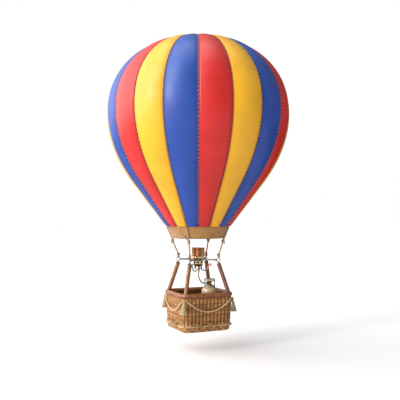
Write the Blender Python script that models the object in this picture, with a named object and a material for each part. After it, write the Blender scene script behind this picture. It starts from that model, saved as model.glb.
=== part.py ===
"""A craft model of a hot air balloon: a sewn envelope of coloured gores over a wicker basket with its burner.

Metres, +Z up. The origin is on the axis, at the height where the envelope is widest. The basket's long sides
face -Y (front) and +Y (back), and its short sides face -X (left) and +X (right).
"""

from math import atan2, cos, hypot, pi, radians, sin, sqrt

import bmesh
import bpy
from mathutils import Matrix, Vector

MM = 0.001
GAP = 0.3 * MM  # what lies between two pieces that touch
CRISP = radians(35)  # edges sharper than this stay sharp on turned and blocky pieces

# Envelope: widest at height 0, a rounded crown above it, a curve and then a straight flank below it.
WAIST_R = 200 * MM
SHELL = 10 * MM
GORES = 18
CROWN_RISE = 169 * MM
CROWN_POWER = 2.084
FLANK_SLOPE = 0.759  # how much the radius shrinks for each metre down the straight flank
MOUTH_Z = -244.6 * MM
CROWN_HOLE_R = 22 * MM
SEAM_DIP = 0.13  # a seam lies this share of half its gore's width below the middle of the gore
HEADING = radians(-24.4)  # the front seam and the burner face this way, seen from above
GORE_COLOURS = ("red", "yellow", "blue")  # in turn, to the right of the front seam

# Crown patch, over the hole where the gores meet
PATCH_R = 26 * MM
PATCH_T = 1.6 * MM
PATCH_BEVEL = 0.6 * PATCH_T
PLUG_CLEAR = 1.1 * MM  # what the patch's plug leaves free inside the hole

# Skirt below the mouth
SKIRT_TOP_R, SKIRT_LOW_R = 69.1 * MM, 57.1 * MM
SKIRT_TOP_Z, SKIRT_LOW_Z = MOUTH_Z - GAP, -270.4 * MM
SKIRT_T = 2 * MM

# Basket: the half sizes are of its outside, below the rim and above the rounded foot.
BASKET_TOP = (59.5 * MM, 56.7 * MM)
BASKET_FOOT = (57.0 * MM, 54.5 * MM)
BASKET_TOP_Z, BASKET_LOW_Z = -397.3 * MM, -469.5 * MM
BASKET_CORNER = 18 * MM
BASKET_WALL = 8 * MM
BASKET_FLOOR = 6 * MM
FOOT_ROUND = 7 * MM

# Rim: a padded roll on top of the wall
RIM_OUT = (62 * MM, 59 * MM)
RIM_CORNER = 20.5 * MM
RIM_R = 5.5 * MM
RIM_Z = BASKET_TOP_Z + GAP + RIM_R

# Poles, from the rim's corners in and up to the burner
POLE_R = 4.5 * MM
POLE_TOP = (34.3 * MM, 31.8 * MM, -325.4 * MM)
POLE_AT_RIM = (49.8 * MM, 47.0 * MM, -386.0 * MM)
SOCKET_DEPTH = 5.5 * MM
SOCKET_REACH = 15 * MM  # from the pole's foot up, well clear of the rim

# Oval links that join the poles, the burner's arms and the stays
LINK_W, LINK_H, LINK_WIRE = 7.7 * MM, 13 * MM, 0.75 * MM
LINK_SEAT = 0.7 * MM  # above the middle of the pole's slanting end

# Stays
ROPE_R = 1.5 * MM
KNOT_R = 3.6 * MM
UPPER_KNOT = (57.5 * MM, -277 * MM)  # radius and height
BRIDLE_Z = -255.4 * MM
BRIDLE_TURN = 2 * pi / GORES
BRIDLE_HEM = 0.25  # at the skirt's foot the bridle is this share of its turn from the stay
BRIDLE_R = 0.9 * ROPE_R

# Burner
ARM_R = 2.06 * MM
ARM_Z = -318 * MM
ARM_START = 2.1 * MM  # from the axis, inside the hub
HUB_R, HUB_HALF_H = 7 * MM, 2.1 * MM
CAN_PITCH = 9.7 * MM
CAN_TOP_Z, CAN_LOW_Z = -292 * MM, -310.8 * MM
CAN_WALL, CAN_RECESS = 0.9 * MM, 7 * MM
CANS = (  # name, which way it lies from the middle, radius, finish
    ("can_left", -1, 4.2 * MM, "bronze"),
    ("can_middle", 0, 5.2 * MM, "copper"),
    ("can_right", 1, 4.2 * MM, "bronze"),
)
MANIFOLD = (13.4 * MM, 5.6 * MM)  # half sizes
BLOCK = (11 * MM, 7 * MM)
MANIFOLD_CORNER, BLOCK_CORNER = 4 * MM, 3 * MM
BLOCK_LOW_Z = -333.5 * MM
BLOCK_TAPER = (3.5 * MM, 5 * MM)  # how far its foot draws in, and how far up that starts
NOZZLE_PITCH, NOZZLE_R, NOZZLE_BORE = 7.6 * MM, 3.6 * MM, 1.6 * MM
NOZZLE_Z = -324.2 * MM
NOZZLE_PROUD = 2 * MM
INLET_X, INLET_R, INLET_LOW_Z = 1.5 * MM, 2.5 * MM, -341.4 * MM
PIPE_R = 1.3 * MM
LEVER_R, LEVER_REACH, LEVER_RISE = 1.2 * MM, 7.3 * MM, 1.6 * MM
VALVE_X, VALVE_R = 21.2 * MM, 2.0 * MM
VALVE_Z = (-341 * MM, -331 * MM)

# Gas cylinder, standing in the right half of the basket
GAS_AT = (28 * MM, 0.0)
GAS_R = 18.1 * MM
GAS_CHAMFER = 2 * MM
GAS_SHOULDER_Z, GAS_TOP_Z = -390 * MM, -377.5 * MM
DOME_END = radians(72)  # the shoulder's curve stops here and is flat above
COLLAR_R, COLLAR_T = 12.4 * MM, 1.4 * MM
COLLAR_Z = (-379.6 * MM, -362.3 * MM)
COLLAR_RINGS = (3 * MM, 4 * MM)  # what is left below and above its windows
WINDOW_HALF = (9.6 * MM, 4.5 * MM)  # half widths of the windows seen from the front seam and from its sides
TAP_PROFILE = (  # radius and height of its stem, its neck and its handwheel
    (4.2 * MM, -369 * MM),
    (2.52 * MM, -368 * MM),
    (2.52 * MM, -365 * MM),
    (5.25 * MM, -364.6 * MM),
    (5.25 * MM, -360.5 * MM),
)
SPIGOT_Z, SPIGOT_R = -371.8 * MM, 2.0 * MM
SPIGOT_END = 9.5 * MM  # from the cylinder's axis

# Hose from the burner down to the cylinder
HOSE_R = 1.4 * MM
HOSE_ROUTE = (  # millimetres, seen from the front seam
    (1.2, 0.3, -346),
    (0.6, 1.2, -351.5),
    (1.4, 3.0, -358.5),
    (4.4, 5.6, -365.5),
    (8.6, 8.6, -370.2),
    (12.6, 10.8, -372.0),
)

# Ropes and tassels on the basket
CORD_R = 1.4 * MM
SWAG_TOP_Z, SWAG_DROP = -400 * MM, 25.5 * MM
SWAG_START = 4.0 * MM  # along the wall from the middle of a corner
TASSEL_KNOT_R = 3.6 * MM
TASSEL_TOP_Z = -400.5 * MM
TASSEL_PROFILE = (  # radius, and how far below the middle of the knot
    (2.0 * MM, 2 * MM),
    (2.2 * MM, 5 * MM),
    (3.4 * MM, 8 * MM),
    (3.0 * MM, 11 * MM),
    (4.4 * MM, 18 * MM),
    (5.3 * MM, 28 * MM),
)
TASSEL_START = 0.51 * MM  # how far its top is off the knot's axis, along X and along Y
TASSEL_LEAN = 1.27 * MM  # how far its foot is off its top, the same way
BASE_ROPE_Z = -456.0 * MM

# Corners: name, side of X, side of Y, direction of the stay's top, which way its bridle leads off
CORNERS = (
    ("front_left", -1, -1, radians(225.6), -1),
    ("front_right", 1, -1, radians(-44.4), 1),
    ("back_right", 1, 1, radians(42.0), -1),
    ("back_left", -1, 1, radians(147.0), -1),
)

# Finishes: name, colour as sRGB hex, roughness, metallic
FINISHES = (
    ("red", "D23A34", 0.45, 0.0),
    ("yellow", "F3C649", 0.45, 0.0),
    ("blue", "3656B4", 0.45, 0.0),
    ("canvas", "C2935A", 0.85, 0.0),
    ("twine", "9A8F6C", 0.9, 0.0),
    ("cotton_rope", "D6B78C", 0.9, 0.0),
    ("tassel_yarn", "B3A67E", 0.9, 0.0),
    ("steel", "B4B6B8", 0.3, 1.0),
    ("pole_leather", "7A4A32", 0.5, 0.0),
    ("brass", "B8904E", 0.3, 1.0),
    ("bronze", "8A6A4A", 0.4, 1.0),
    ("copper", "D0763C", 0.3, 1.0),
    ("hose_grey", "B9B4AE", 0.5, 0.0),
    ("lever_red", "D2602E", 0.4, 0.0),
    ("cylinder_paint", "CDB68A", 0.35, 0.0),
    ("wicker", "B98A56", 0.7, 0.0),
    ("rim_leather", "85482F", 0.5, 0.0),
)


def clear_scene():
    for thing in list(bpy.data.objects):
        bpy.data.objects.remove(thing)


def linear(channel):
    return channel / 12.92 if channel <= 0.04045 else ((channel + 0.055) / 1.055) ** 2.4


def make_finishes():
    """Principled materials by name."""
    made = {}
    for name, code, roughness, metallic in FINISHES:
        material = bpy.data.materials.new(name)
        material.use_nodes = True
        shader = material.node_tree.nodes["Principled BSDF"]
        colour = [linear(int(code[i : i + 2], 16) / 255) for i in (0, 2, 4)]
        shader.inputs["Base Color"].default_value = (*colour, 1)
        shader.inputs["Roughness"].default_value = roughness
        shader.inputs["Metallic"].default_value = metallic
        material.diffuse_color = (*colour, 1)
        made[name] = material
    return made


def add_object(name, bm, finish=None, smooth_below=radians(50)):
    """An object from a bmesh. With no finish it is a helper, which isn't rendered."""
    bmesh.ops.recalc_face_normals(bm, faces=bm.faces)
    mesh = bpy.data.meshes.new(name)
    bm.to_mesh(mesh)
    bm.free()
    mesh.shade_smooth()
    mesh.set_sharp_from_angle(angle=smooth_below)
    obj = bpy.data.objects.new(name, mesh)
    bpy.context.scene.collection.objects.link(obj)
    if finish is None:
        obj.hide_render = True
        obj.display_type = "WIRE"
    else:
        mesh.materials.append(finish)
    return obj


def combine(obj, others, operation):
    """Boolean modifiers on obj, one for each helper."""
    for other in others:
        modifier = obj.modifiers.new(f"{operation.lower()} {other.name}", "BOOLEAN")
        modifier.operation = operation
        modifier.solver = "EXACT"
        modifier.object = other


def loft(sections, wrap=False):
    """A closed body through sections of as many points each. wrap joins the last to the first."""
    bm = bmesh.new()
    rings = [[bm.verts.new(p) for p in section] for section in sections]
    count = len(rings[0])
    pairs = list(zip(rings, rings[1:]))
    if wrap:
        pairs.append((rings[-1], rings[0]))
    for low, high in pairs:
        for i in range(count):
            j = (i + 1) % count
            bm.faces.new((low[i], low[j], high[j], high[i]))
    if not wrap:
        bm.faces.new(rings[0])
        bm.faces.new(rings[-1])
    return bm


def turned(profile, sides, centre=(0.0, 0.0)):
    """A body turned round a vertical axis, from a profile of (radius, height) between its end caps."""
    turns = [2 * pi * i / sides for i in range(sides)]
    return loft([[(centre[0] + r * cos(a), centre[1] + r * sin(a), z) for a in turns] for r, z in profile])


def tube(points, radius, sides, wrap=False):
    """A round bar along a path of points."""
    path = [Vector(p) for p in points]
    count = len(path)
    tangents = []
    for i in range(count):
        before = path[i - 1] if wrap or i else path[0]
        after = path[(i + 1) % count] if wrap or i < count - 1 else path[-1]
        tangents.append((after - before).normalized())
    side = tangents[0].orthogonal().normalized()
    sections = []
    for point, along in zip(path, tangents):
        side = (side - along * side.dot(along)).normalized()
        up = along.cross(side)
        turns = [2 * pi * k / sides for k in range(sides)]
        sections.append([point + radius * (cos(a) * side + sin(a) * up) for a in turns])
    return loft(sections, wrap)


def ball(centre, radius, sides=10, rings=6):
    """A sphere."""
    bm = bmesh.new()
    bmesh.ops.create_uvsphere(bm, u_segments=sides, v_segments=rings, radius=radius)
    bmesh.ops.translate(bm, vec=centre, verts=bm.verts)
    return bm


def box(low, high, turn=0.0):
    """A box between two corners, turned about the vertical axis through the origin."""
    bm = bmesh.new()
    bmesh.ops.create_cube(bm, size=1)
    low, high = Vector(low), Vector(high)
    place = Matrix.Translation((low + high) / 2) @ Matrix.Diagonal((*(high - low), 1))
    bmesh.ops.transform(bm, matrix=Matrix.Rotation(turn, 4, "Z") @ place, verts=bm.verts)
    return bm


def facing(x, y, z):
    """A point given as seen from the front seam: x to the right, y away from the eye."""
    return Matrix.Rotation(HEADING, 3, "Z") @ Vector((x, y, z))


def smooth_path(knots, steps):
    """Points on a smooth curve through the knots, which are at least three."""
    knots = [Vector(k) for k in knots]
    ends = [2 * knots[0] - knots[1], *knots, 2 * knots[-1] - knots[-2]]
    path = []
    for a, b, c, d in zip(ends, ends[1:], ends[2:], ends[3:]):
        for i in range(steps):
            t = i / steps
            square, cube = 2 * a - 5 * b + 4 * c - d, 3 * b - a - 3 * c + d
            path.append(0.5 * (2 * b + (c - a) * t + square * t**2 + cube * t**3))
    return [*path, knots[-1]]


def cord_object(name, points, radius, finish):
    """A soft tube as a curve with a bevel."""
    curve = bpy.data.curves.new(name, "CURVE")
    curve.dimensions = "3D"
    curve.bevel_depth = radius
    curve.bevel_resolution = 2
    curve.use_fill_caps = True
    spline = curve.splines.new("POLY")
    spline.points.add(len(points) - 1)
    for target, point in zip(spline.points, points):
        target.co = (*point, 1)
    spline.use_smooth = True
    curve.materials.append(finish)
    obj = bpy.data.objects.new(name, curve)
    bpy.context.scene.collection.objects.link(obj)
    return obj


# Envelope


def outline():
    """The envelope's outside from crown to mouth, as (radius, height, slope of the surface's normal)."""
    rows = []
    start = (CROWN_HOLE_R / WAIST_R) ** (CROWN_POWER / 2)
    first = atan2(start, sqrt(1 - start * start))
    steps = 8  # above the widest place, and as many below it
    for i in range(steps):
        t = first + (pi / 2 - first) * i / steps
        r, z = sin(t) ** (2 / CROWN_POWER), cos(t) ** (2 / CROWN_POWER)
        normal = Vector((r ** (CROWN_POWER - 1) / WAIST_R, z ** (CROWN_POWER - 1) / CROWN_RISE)).normalized()
        rows.append((WAIST_R * r, CROWN_RISE * z, normal))
    bend_end = -WAIST_R * FLANK_SLOPE
    for i in range(steps + 1):
        z = MOUTH_Z * i / steps
        curved = max(z, bend_end)
        r = WAIST_R - curved * curved / (2 * WAIST_R) + min(z - bend_end, 0) * FLANK_SLOPE
        rows.append((r, z, Vector((1, curved / WAIST_R)).normalized()))
    return rows


def gore_section(outer, inner, normal, middle):
    """One gore's loop at one height: the outer arc, dipped along the normal at its seams, and the inner."""
    steps = 4
    half = pi / GORES
    loop = []
    for (r, z), order in ((outer, 1), (inner, -1)):
        edge = half - GAP / 2 / r
        for k in range(steps + 1):
            share = order * (2 * k / steps - 1)
            turn = middle + share * edge
            dip = SEAM_DIP * half * r * share * share * (order > 0)
            dipped = r - dip * normal.x
            loop.append((dipped * cos(turn), dipped * sin(turn), z - dip * normal.y))
    return loop


def make_gores(finishes):
    rows = outline()
    bands = [((r, z), (r - SHELL * n.x, z - SHELL * n.y), n) for r, z, n in rows]
    mouth_r, mouth_z, normal = rows[-1]
    bands[-1] = ((mouth_r, mouth_z), (mouth_r - SHELL / normal.x, mouth_z), Vector((1, 0)))
    front = HEADING - pi / 2
    for k in range(GORES):
        middle = front + 2 * pi * (k + 0.5) / GORES
        sections = [gore_section(*band, middle) for band in bands]
        add_object(f"gore_{k + 1:02d}", loft(sections), finishes[GORE_COLOURS[k % len(GORE_COLOURS)]])


def make_crown_patch(finish):
    r, z, _ = outline()[0]
    plug = r - PLUG_CLEAR
    low = z + 2 * GAP
    profile = [
        (plug, z - SHELL + GAP),
        (plug, low),
        (PATCH_R, low),
        (PATCH_R, low + PATCH_BEVEL),
        (PATCH_R - PATCH_BEVEL, low + PATCH_T),
    ]
    add_object("crown_patch", turned(profile, sides=36), finish, CRISP)


def make_skirt(finish):
    profile = [(SKIRT_LOW_R, SKIRT_LOW_Z), (SKIRT_TOP_R, SKIRT_TOP_Z)]
    inside = [(r - SKIRT_T, z) for r, z in reversed(profile)]
    sides = 3 * GORES
    turns = [2 * pi * i / sides for i in range(sides)]
    rings = [[(r * cos(a), r * sin(a), z) for a in turns] for r, z in profile + inside]
    add_object("skirt", loft(rings, wrap=True), finish, CRISP)


# Poles, links, stays and the burner's arms


def pole_axis(side_x, side_y):
    """The top of a pole and its foot in the rim's socket."""
    top = Vector((side_x * POLE_TOP[0], side_y * POLE_TOP[1], POLE_TOP[2]))
    at_rim = Vector((side_x * POLE_AT_RIM[0], side_y * POLE_AT_RIM[1], POLE_AT_RIM[2]))
    along = (at_rim - top) / (top.z - at_rim.z)
    return top, at_rim + along * SOCKET_DEPTH


def link_centre(side_x, side_y):
    top, _ = pole_axis(side_x, side_y)
    return top + Vector((0, 0, LINK_SEAT + LINK_H / 2))


def make_poles(finish):
    for name, side_x, side_y, *_ in CORNERS:
        top, foot = pole_axis(side_x, side_y)
        add_object(f"pole_{name}", tube([foot, top], POLE_R, sides=16), finish)


def make_links(finish):
    """Each link stands upright, in the plane of the vertical axis."""
    for name, side_x, side_y, *_ in CORNERS:
        centre = link_centre(side_x, side_y)
        out = Vector((centre.x, centre.y, 0)).normalized()
        bend = LINK_W / 2 - LINK_WIRE
        straight = LINK_H / 2 - LINK_WIRE - bend
        path, steps = [], 6
        for start, lift in ((0.0, straight), (pi, -straight)):
            for i in range(steps + 1):
                turn = start + pi * i / steps
                path.append(centre + out * bend * cos(turn) + Vector((0, 0, lift + bend * sin(turn))))
        add_object(f"link_{name}", tube(path, LINK_WIRE, sides=6, wrap=True), finish)


def skirt_radius(z):
    share = (SKIRT_TOP_Z - z) / (SKIRT_TOP_Z - SKIRT_LOW_Z)
    return SKIRT_TOP_R + (SKIRT_LOW_R - SKIRT_TOP_R) * share


def polar(r, turn, z):
    return Vector((r * cos(turn), r * sin(turn), z))


def make_stays(finish):
    """Each stay comes down the skirt to a knot, where its bridle joins it, and on to a knot on the link."""
    slope = Vector((SKIRT_TOP_Z - SKIRT_LOW_Z, SKIRT_LOW_R - SKIRT_TOP_R)).normalized()
    clear = (ROPE_R + GAP) * slope
    for name, side_x, side_y, turn, lead in CORNERS:
        link_top = link_centre(side_x, side_y) + Vector((0, 0, LINK_H / 2))
        low_knot = link_top + Vector((0, 0, GAP + KNOT_R))
        top = polar(SKIRT_TOP_R + clear.x, turn, SKIRT_TOP_Z + clear.y)
        hem = polar(SKIRT_LOW_R + clear.x, turn, SKIRT_LOW_Z + clear.y)
        high_knot = polar(UPPER_KNOT[0], turn, UPPER_KNOT[1])
        side_turn = turn + lead * BRIDLE_TURN
        bridle_low_turn = turn + lead * BRIDLE_TURN * BRIDLE_HEM
        bridle = [
            polar(skirt_radius(BRIDLE_Z) + clear.x, side_turn, BRIDLE_Z + clear.y),
            polar(SKIRT_LOW_R + clear.x * 1.2, bridle_low_turn, SKIRT_LOW_Z + clear.y),
            high_knot,
        ]
        stay = add_object(f"stay_{name}", tube([top, hem, high_knot, low_knot], ROPE_R, sides=10), finish)
        helpers = [
            add_object(f"bridle of {name}", tube(bridle, BRIDLE_R, sides=10)),
            add_object(f"high knot of {name}", ball(high_knot, KNOT_R)),
            add_object(f"low knot of {name}", ball(low_knot, KNOT_R)),
        ]
        combine(stay, helpers, "UNION")


def make_burner_cross(finish):
    """Four arms from a hub out to the links."""
    hub = turned([(HUB_R, ARM_Z - HUB_HALF_H), (HUB_R, ARM_Z + HUB_HALF_H)], sides=24)
    cross = add_object("burner_cross", hub, finish)
    arms = []
    for name, side_x, side_y, *_ in CORNERS:
        centre = link_centre(side_x, side_y)
        reach = hypot(centre.x, centre.y) - LINK_W / 2 - GAP
        out = Vector((centre.x, centre.y, 0)).normalized()
        path = [out * ARM_START + Vector((0, 0, ARM_Z)), out * reach + Vector((0, 0, ARM_Z))]
        arms.append(add_object(f"arm to {name}", tube(path, ARM_R, sides=12)))
    combine(cross, arms, "UNION")


# Burner


def rounded_block(half_x, half_y, low_z, high_z, corner, taper=None):
    """A block with rounded upright edges, seen from the front seam. Its foot may draw in."""
    levels = [(low_z, 0), (high_z, 0)]
    if taper:
        levels = [(low_z, taper[0]), (low_z + taper[1], 0), (high_z, 0)]
    sections = []
    for z, inset in levels:
        loop = rounded_loop(half_x - inset, half_y - inset, corner, arc_steps=4)
        sections.append([facing(p.x, p.y, z) for p, _ in loop])
    return loft(sections)


def make_burner(finishes):
    for name, place, radius, finish in CANS:
        centre = facing(place * CAN_PITCH, 0, 0)
        profile = [
            (radius, CAN_LOW_Z),
            (radius, CAN_TOP_Z),
            (radius - CAN_WALL, CAN_TOP_Z),
            (radius - CAN_WALL, CAN_TOP_Z - CAN_RECESS),
        ]
        add_object(name, turned(profile, sides=24, centre=centre.xy), finishes[finish], CRISP)

    manifold = rounded_block(*MANIFOLD, ARM_Z + HUB_HALF_H + GAP, CAN_LOW_Z - GAP, MANIFOLD_CORNER)
    add_object("burner_manifold", manifold, finishes["brass"], CRISP)

    block = rounded_block(*BLOCK, BLOCK_LOW_Z, ARM_Z - HUB_HALF_H - GAP, BLOCK_CORNER, BLOCK_TAPER)
    block = add_object("burner_block", block, finishes["brass"], CRISP)
    rings, bores = [], []
    for place in (-1, 0, 1):
        x = place * NOZZLE_PITCH
        back, face = -BLOCK[1] + NOZZLE_PROUD, -BLOCK[1] - NOZZLE_PROUD
        ring = tube([facing(x, back, NOZZLE_Z), facing(x, face, NOZZLE_Z)], NOZZLE_R, sides=16)
        bore = tube([facing(x, back, NOZZLE_Z), facing(x, face - MM, NOZZLE_Z)], NOZZLE_BORE, sides=12)
        rings.append(add_object(f"nozzle {place}", ring))
        bores.append(add_object(f"bore {place}", bore))
    inlet = [facing(INLET_X, 0, INLET_LOW_Z), facing(INLET_X, 0, BLOCK_LOW_Z + MM)]
    rings.append(add_object("inlet", tube(inlet, INLET_R, sides=16)))
    combine(block, rings, "UNION")
    combine(block, bores, "DIFFERENCE")


def make_pipes(finishes):
    """The small pipes either side of the inlet, through knots, and the valve beyond the right one."""
    beside = INLET_R + PIPE_R + GAP
    before_valve = VALVE_R + PIPE_R / 2 + 1.5 * GAP  # the pipe's end slants
    left = [
        (-BLOCK[0] - GAP - PIPE_R, 0, -329 * MM),
        (-13.4 * MM, 0, -333 * MM),
        (-12.4 * MM, 0, -339.5 * MM),
        (-8 * MM, 0, -344 * MM),
        (-4 * MM, 0, -343.5 * MM),
        (INLET_X - beside, 0, -339.5 * MM),
    ]
    right = [
        (INLET_X + beside, 0, -338 * MM),
        (8 * MM, 0, -340.5 * MM),
        (13 * MM, 0, -342.6 * MM),
        (VALVE_X - before_valve, 0, -339.5 * MM),
    ]
    for name, knots in (("pipe_left", left), ("pipe_right", right)):
        path = smooth_path([facing(*k) for k in knots], steps=4)
        add_object(name, tube(path, PIPE_R, sides=8), finishes["steel"])

    body = [(VALVE_R, z) for z in VALVE_Z]
    valve = turned(body, sides=14, centre=facing(VALVE_X, 0, 0).xy)
    valve = add_object("burner_valve", valve, finishes["lever_red"], CRISP)
    lever = [facing(VALVE_X, 0, VALVE_Z[1] - MM), facing(VALVE_X + LEVER_REACH, 0, VALVE_Z[1] + LEVER_RISE)]
    combine(valve, [add_object("lever", tube(lever, LEVER_R, sides=10))], "UNION")


def make_hose(finish):
    """From the burner's inlet down and across to the spigot of the cylinder's tap."""
    start = facing(INLET_X, 0, INLET_LOW_Z - GAP)
    end = Vector((*GAS_AT, 0)) + facing(-SPIGOT_END - GAP, 0, SPIGOT_Z)
    knots = [start, *(facing(*place) * MM for place in HOSE_ROUTE), end]
    cord_object("main_hose", smooth_path(knots, steps=3), HOSE_R, finish)


def make_gas_cylinder(finishes):
    floor = BASKET_LOW_Z + BASKET_FLOOR + GAP
    profile = [(GAS_R - GAS_CHAMFER, floor), (GAS_R, floor + GAS_CHAMFER)]
    dome, steps = GAS_TOP_Z - GAS_SHOULDER_Z, 6
    for i in range(steps + 1):
        turn = DOME_END * i / steps
        profile.append((GAS_R * cos(turn), GAS_SHOULDER_Z + dome * sin(turn)))
    add_object("gas_cylinder", turned(profile, sides=28, centre=GAS_AT), finishes["cylinder_paint"])

    sides = 24
    turns = [2 * pi * i / sides for i in range(sides)]
    inner = COLLAR_R - COLLAR_T
    corners = zip((COLLAR_R, COLLAR_R, inner, inner), (*COLLAR_Z, *COLLAR_Z[::-1]))
    rings = [[(GAS_AT[0] + r * cos(a), GAS_AT[1] + r * sin(a), z) for a in turns] for r, z in corners]
    collar = add_object("cylinder_collar", loft(rings, wrap=True), finishes["steel"], CRISP)
    windows = []
    low_z, high_z = COLLAR_Z[0] + COLLAR_RINGS[0], COLLAR_Z[1] - COLLAR_RINGS[1]
    through = 2 * COLLAR_R
    for way, (x, y) in enumerate(((WINDOW_HALF[0], through), (through, WINDOW_HALF[1]))):
        window = box((-x, -y, low_z), (x, y, high_z), HEADING)
        bmesh.ops.translate(window, vec=(*GAS_AT, 0), verts=window.verts)
        windows.append(add_object(f"window {way}", window))
    combine(collar, windows, "DIFFERENCE")

    dome_top = profile[-1][1] + GAP
    stem = turned([(TAP_PROFILE[0][0], dome_top), *TAP_PROFILE], sides=20, centre=GAS_AT)
    tap = add_object("cylinder_tap", stem, finishes["brass"], CRISP)
    middle = Vector((*GAS_AT, 0))
    spigot = [middle + facing(0, 0, SPIGOT_Z), middle + facing(-SPIGOT_END, 0, SPIGOT_Z)]
    combine(tap, [add_object("spigot", tube(spigot, SPIGOT_R, sides=12))], "UNION")


# Basket


def rounded_loop(half_x, half_y, corner, arc_steps, straight_steps=1):
    """Stations round a rounded rectangle, anticlockwise: each a point at height 0 and its outward way."""
    stations = []
    quarters = ((1, 1), (-1, 1), (-1, -1), (1, -1))
    for quarter, (side_x, side_y) in enumerate(quarters):
        centre = Vector((side_x * (half_x - corner), side_y * (half_y - corner), 0))
        for i in range(arc_steps + 1):
            turn = pi / 2 * (quarter + i / arc_steps)
            out = Vector((cos(turn), sin(turn), 0))
            stations.append((centre + corner * out, out))
        next_x, next_y = quarters[(quarter + 1) % 4]
        point, out = stations[-1]
        target = Vector((next_x * (half_x - corner), next_y * (half_y - corner), 0)) + corner * out
        for i in range(1, straight_steps):
            stations.append((point.lerp(target, i / straight_steps), out))
    return stations


def basket_half(z):
    """The basket's outer half sizes at a height, above its rounded foot."""
    share = (BASKET_TOP_Z - z) / (BASKET_TOP_Z - BASKET_LOW_Z - FOOT_ROUND)
    return tuple(top + (foot - top) * min(share, 1) for top, foot in zip(BASKET_TOP, BASKET_FOOT))


def make_basket(finish):
    def ring(z, inset, half=None):
        half_x, half_y = half or basket_half(z)
        stations = rounded_loop(half_x - inset, half_y - inset, BASKET_CORNER - inset, arc_steps=6)
        return [Vector((p.x, p.y, z)) for p, _ in stations]

    rings, steps = [], 3
    for i in range(steps + 1):
        turn = pi / 2 * i / steps
        inset = FOOT_ROUND * (1 - sin(turn))
        rings.append(ring(BASKET_LOW_Z + FOOT_ROUND * (1 - cos(turn)), inset, BASKET_FOOT))
    rings.append(ring(BASKET_TOP_Z, 0))
    rings.append(ring(BASKET_TOP_Z, BASKET_WALL))
    rings.append(ring(BASKET_LOW_Z + BASKET_FLOOR, BASKET_WALL, BASKET_FOOT))
    add_object("basket", loft(rings), finish, CRISP)


def make_rim(finish):
    stations = rounded_loop(RIM_OUT[0] - RIM_R, RIM_OUT[1] - RIM_R, RIM_CORNER - RIM_R, arc_steps=6)
    sides = 10
    turns = [2 * pi * k / sides for k in range(sides)]
    up = Vector((0, 0, 1))
    sections = [
        [p + out * RIM_R * cos(a) + up * (RIM_Z + RIM_R * sin(a)) for a in turns] for p, out in stations
    ]
    rim = add_object("basket_rim", loft(sections, wrap=True), finish)
    sockets = []
    for name, side_x, side_y, *_ in CORNERS:
        top, foot = pole_axis(side_x, side_y)
        along = (foot - top).normalized()
        socket = tube([foot + along * GAP, foot - along * SOCKET_REACH], POLE_R + GAP, sides=16)
        sockets.append(add_object(f"socket of {name}", socket))
    combine(rim, sockets, "DIFFERENCE")


def side_stations(half_x, half_y, corner, side):
    """Stations along one side, from the middle of one corner to the middle of the next.

    Sides: 0 back, 1 left, 2 front, 3 right.
    """
    arc_steps = 8
    fine = rounded_loop(half_x, half_y, corner, arc_steps, straight_steps=12)
    quarter = len(fine) // 4
    start = side * quarter + arc_steps // 2
    return [fine[(start + i) % len(fine)] for i in range(quarter + 1)]


def along_side(stations, share):
    """The point this share of the way along the stations, by length."""
    lengths = [0.0]
    for (a, _), (b, _) in zip(stations, stations[1:]):
        lengths.append(lengths[-1] + (b - a).length)
    target = share * lengths[-1]
    for i, ((a, _), (b, _)) in enumerate(zip(stations, stations[1:])):
        if lengths[i + 1] >= target:
            step = lengths[i + 1] - lengths[i]
            return a.lerp(b, (target - lengths[i]) / step if step else 0.0)
    return stations[-1][0]


def make_swags(finish):
    """A rope that droops along each side of the basket from corner to corner."""
    steps = 18
    off = CORD_R + GAP
    for side, name in enumerate(("back", "left", "front", "right")):
        path = []
        for i in range(steps + 1):
            t = 2 * i / steps - 1
            z = SWAG_TOP_Z - SWAG_DROP * (1 - t * t)
            half_x, half_y = basket_half(z)
            stations = side_stations(half_x + off, half_y + off, BASKET_CORNER + off, side)
            length = sum((b - a).length for (a, _), (b, _) in zip(stations, stations[1:]))
            first = SWAG_START / length
            point = along_side(stations, first + (1 - 2 * first) * i / steps)
            path.append(Vector((point.x, point.y, z)))
        cord_object(f"swag_{name}", path, CORD_R, finish)


def make_tassels(finish):
    """Each hangs from a knot at a corner, clear of the wall."""
    half_x, half_y = basket_half(TASSEL_TOP_Z)
    for name, side_x, side_y, *_ in CORNERS:
        reach = (BASKET_CORNER + GAP + TASSEL_KNOT_R) / sqrt(2)
        x = side_x * (half_x - BASKET_CORNER + reach)
        y = side_y * (half_y - BASKET_CORNER + reach)
        knot = ball((x, y, TASSEL_TOP_Z), TASSEL_KNOT_R, sides=12, rings=8)
        knot = add_object(f"tassel_{name}", knot, finish)
        profile = [(r, TASSEL_TOP_Z - drop) for r, drop in TASSEL_PROFILE]
        body = turned(profile, sides=12, centre=(x + side_x * TASSEL_START, y + side_y * TASSEL_START))
        for vertex in body.verts:
            share = (TASSEL_TOP_Z - vertex.co.z) / TASSEL_PROFILE[-1][1]
            vertex.co.x += side_x * TASSEL_LEAN * share
            vertex.co.y += side_y * TASSEL_LEAN * share
        combine(knot, [add_object(f"fringe of {name}", body)], "UNION")


def make_base_rope(finish):
    off = CORD_R + GAP
    half_x, half_y = basket_half(BASE_ROPE_Z)
    stations = rounded_loop(half_x + off, half_y + off, BASKET_CORNER + off, arc_steps=6)
    path = [Vector((p.x, p.y, BASE_ROPE_Z)) for p, _ in stations]
    add_object("base_rope", tube(path, CORD_R, sides=8, wrap=True), finish)


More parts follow.
